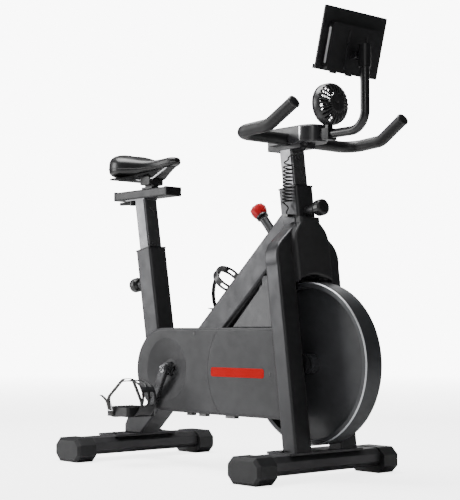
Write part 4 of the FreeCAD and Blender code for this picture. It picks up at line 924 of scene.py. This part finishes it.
def console_nose():
    """Glossy wrap round the console's front, steel strips behind it that paint the edge highlight between
    its sides and front, and a dark top panel.
    """
    steps = 24
    radius = NOSE_HALF
    outline = []
    for k in range(steps + 1):
        angle = math.pi * (k / steps - 0.5)
        outline.append((CONSOLE_FRONT - radius + radius * math.cos(angle), radius * math.sin(angle)))
    outline += [(NOSE_FROM, NOSE_HALF), (NOSE_FROM, -NOSE_HALF)]
    place = Matrix.Translation(Vector((0, 0, 914.5)) * MM)
    nose = plate("console_nose", outline, 42.0, place, edge=1.6)
    piece(nose, "handlebar", "console_plastic")
    # Each steel strip stands in for a painted highlight on the edge between the console's side and front.
    for side in (-1, 1):
        spot = frame_at((NOSE_FROM - 3.5, side * 44.0, 936), (0, side, 0), (0, 0, 1))
        strip = plate(f"console_highlight_strip_{side + 1}", rounded_rectangle(40, 5, 1.4), 0.9, spot, edge=0.3)
        piece(strip, "handlebar", "magnet_metal")
    top = Matrix.Translation(Vector((262, 0, 959.6)) * MM)
    panel = plate("console_panel", rounded_rectangle(104, 70, 12), 1.4, top, edge=0.5)
    piece(panel, "handlebar", "tablet_plastic")
    badge = lathe("console_badge", [(11, 0), (16, 0), (16.6, 0.6), (16, 1.2), (12.6, 1.2), (11, 0.6)],
                  Matrix.Translation(Vector((262, 0, 960.6)) * MM), 48)
    piece(badge, "handlebar", "badge_green")


console_nose()

# ------------------------------------------------------------------ seat knob

SEAT_KNOB_WAY = Vector((-0.9848078, 0, -0.1736482))


def seat_knob():
    low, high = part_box("seat_height_knob")
    tip = Vector((low[0], 0, (low[2] + high[2]) / 2)) / MM
    foot = tip - SEAT_KNOB_WAY * 34 + Vector((1.2, 0, 0))
    pull_knob("seat_pull_grip", "seat_pull_knob", "seat_height_knob", foot, SEAT_KNOB_WAY)


seat_knob()

# ------------------------------------------------------------------ floor and light

FLOOR_REACH = 9.0
FLOOR_CLEAR = (2.2, 7.5)
FLOOR_GLOW = 3.5


def floor():
    rings = [[Vector((r * math.cos(a), r * math.sin(a), 0.0))
              for a in (2 * math.pi * k / 48 for k in range(48))] for r in (0.001, 1.0, 4.0, FLOOR_REACH)]
    ground = mesh_object("floor", *skin(rings, capped=False))
    mat = bpy.data.materials.new("floor")
    mat.use_nodes = True
    tree = mat.node_tree
    shader = tree.nodes["Principled BSDF"]
    shader.inputs["Base Color"].default_value = (0.86, 0.86, 0.86, 1)
    shader.inputs["Roughness"].default_value = 0.7
    shader.inputs["Specular IOR Level"].default_value = 0.15
    place = tree.nodes.new("ShaderNodeTexCoord").outputs["Object"]
    reach = tree.nodes.new("ShaderNodeVectorMath")
    reach.operation = "LENGTH"
    tree.links.new(place, reach.inputs[0])
    clear = tree.nodes.new("ShaderNodeBsdfTransparent")
    glow = tree.nodes.new("ShaderNodeEmission")
    lit = tree.nodes.new("ShaderNodeAddShader")
    tree.links.new(shader.outputs[0], lit.inputs[0])
    tree.links.new(glow.outputs[0], lit.inputs[1])
    seen = tree.nodes.new("ShaderNodeLightPath").outputs["Is Camera Ray"]
    tree.links.new(spread(tree, seen, 0.0, FLOOR_GLOW, 0.0, 1.0), glow.inputs["Strength"])
    blend = tree.nodes.new("ShaderNodeMixShader")
    tree.links.new(spread(tree, reach.outputs["Value"], 0.0, 1.0, *FLOOR_CLEAR), blend.inputs[0])
    tree.links.new(lit.outputs[0], blend.inputs[1])
    tree.links.new(clear.outputs[0], blend.inputs[2])
    tree.links.new(blend.outputs[0], tree.nodes["Material Output"].inputs["Surface"])
    ground.data.materials.append(mat)


def world_light(seen, given):
    world = bpy.data.worlds.new("studio")
    bpy.context.scene.world = world
    world.use_nodes = True
    tree = world.node_tree
    back = tree.nodes["Background"]
    back.inputs["Color"].default_value = (1, 1, 1, 1)
    back.inputs["Strength"].default_value = given
    bright = tree.nodes.new("ShaderNodeBackground")
    bright.inputs["Strength"].default_value = seen
    bright.inputs["Color"].default_value = (1, 1, 1, 1)
    ray = tree.nodes.new("ShaderNodeLightPath")
    blend = tree.nodes.new("ShaderNodeMixShader")
    tree.links.new(ray.outputs["Is Camera Ray"], blend.inputs[0])
    tree.links.new(back.outputs[0], blend.inputs[1])
    tree.links.new(bright.outputs[0], blend.inputs[2])
    tree.links.new(blend.outputs[0], tree.nodes["World Output"].inputs["Surface"])


def softbox(name, place, target, size, power):
    data = bpy.data.lights.new(name, "AREA")
    data.shape = "RECTANGLE"
    data.size, data.size_y = size
    data.energy = power
    lamp = bpy.data.objects.new(name, data)
    lamp.location = place
    way = Vector(target) - Vector(place)
    lamp.rotation_euler = way.to_track_quat("-Z", "Y").to_euler()
    bpy.context.collection.objects.link(lamp)


floor()
world_light(9.0, 0.09)
softbox("overhead", (-0.7, -0.4, 3.4), (0, 0, 0.2), (2.2, 2.2), 230)
softbox("left_side", (-2.9, -2.8, 1.5), (0, 0, 0.5), (1.8, 2.4), 128)
softbox("front_strip", (3.1, -2.4, 1.7), (0, 0, 0.5), (0.12, 2.2), 26)
softbox("far_side", (-1.6, 3.4, 2.0), (0, 0, 0.6), (1.6, 1.6), 30)
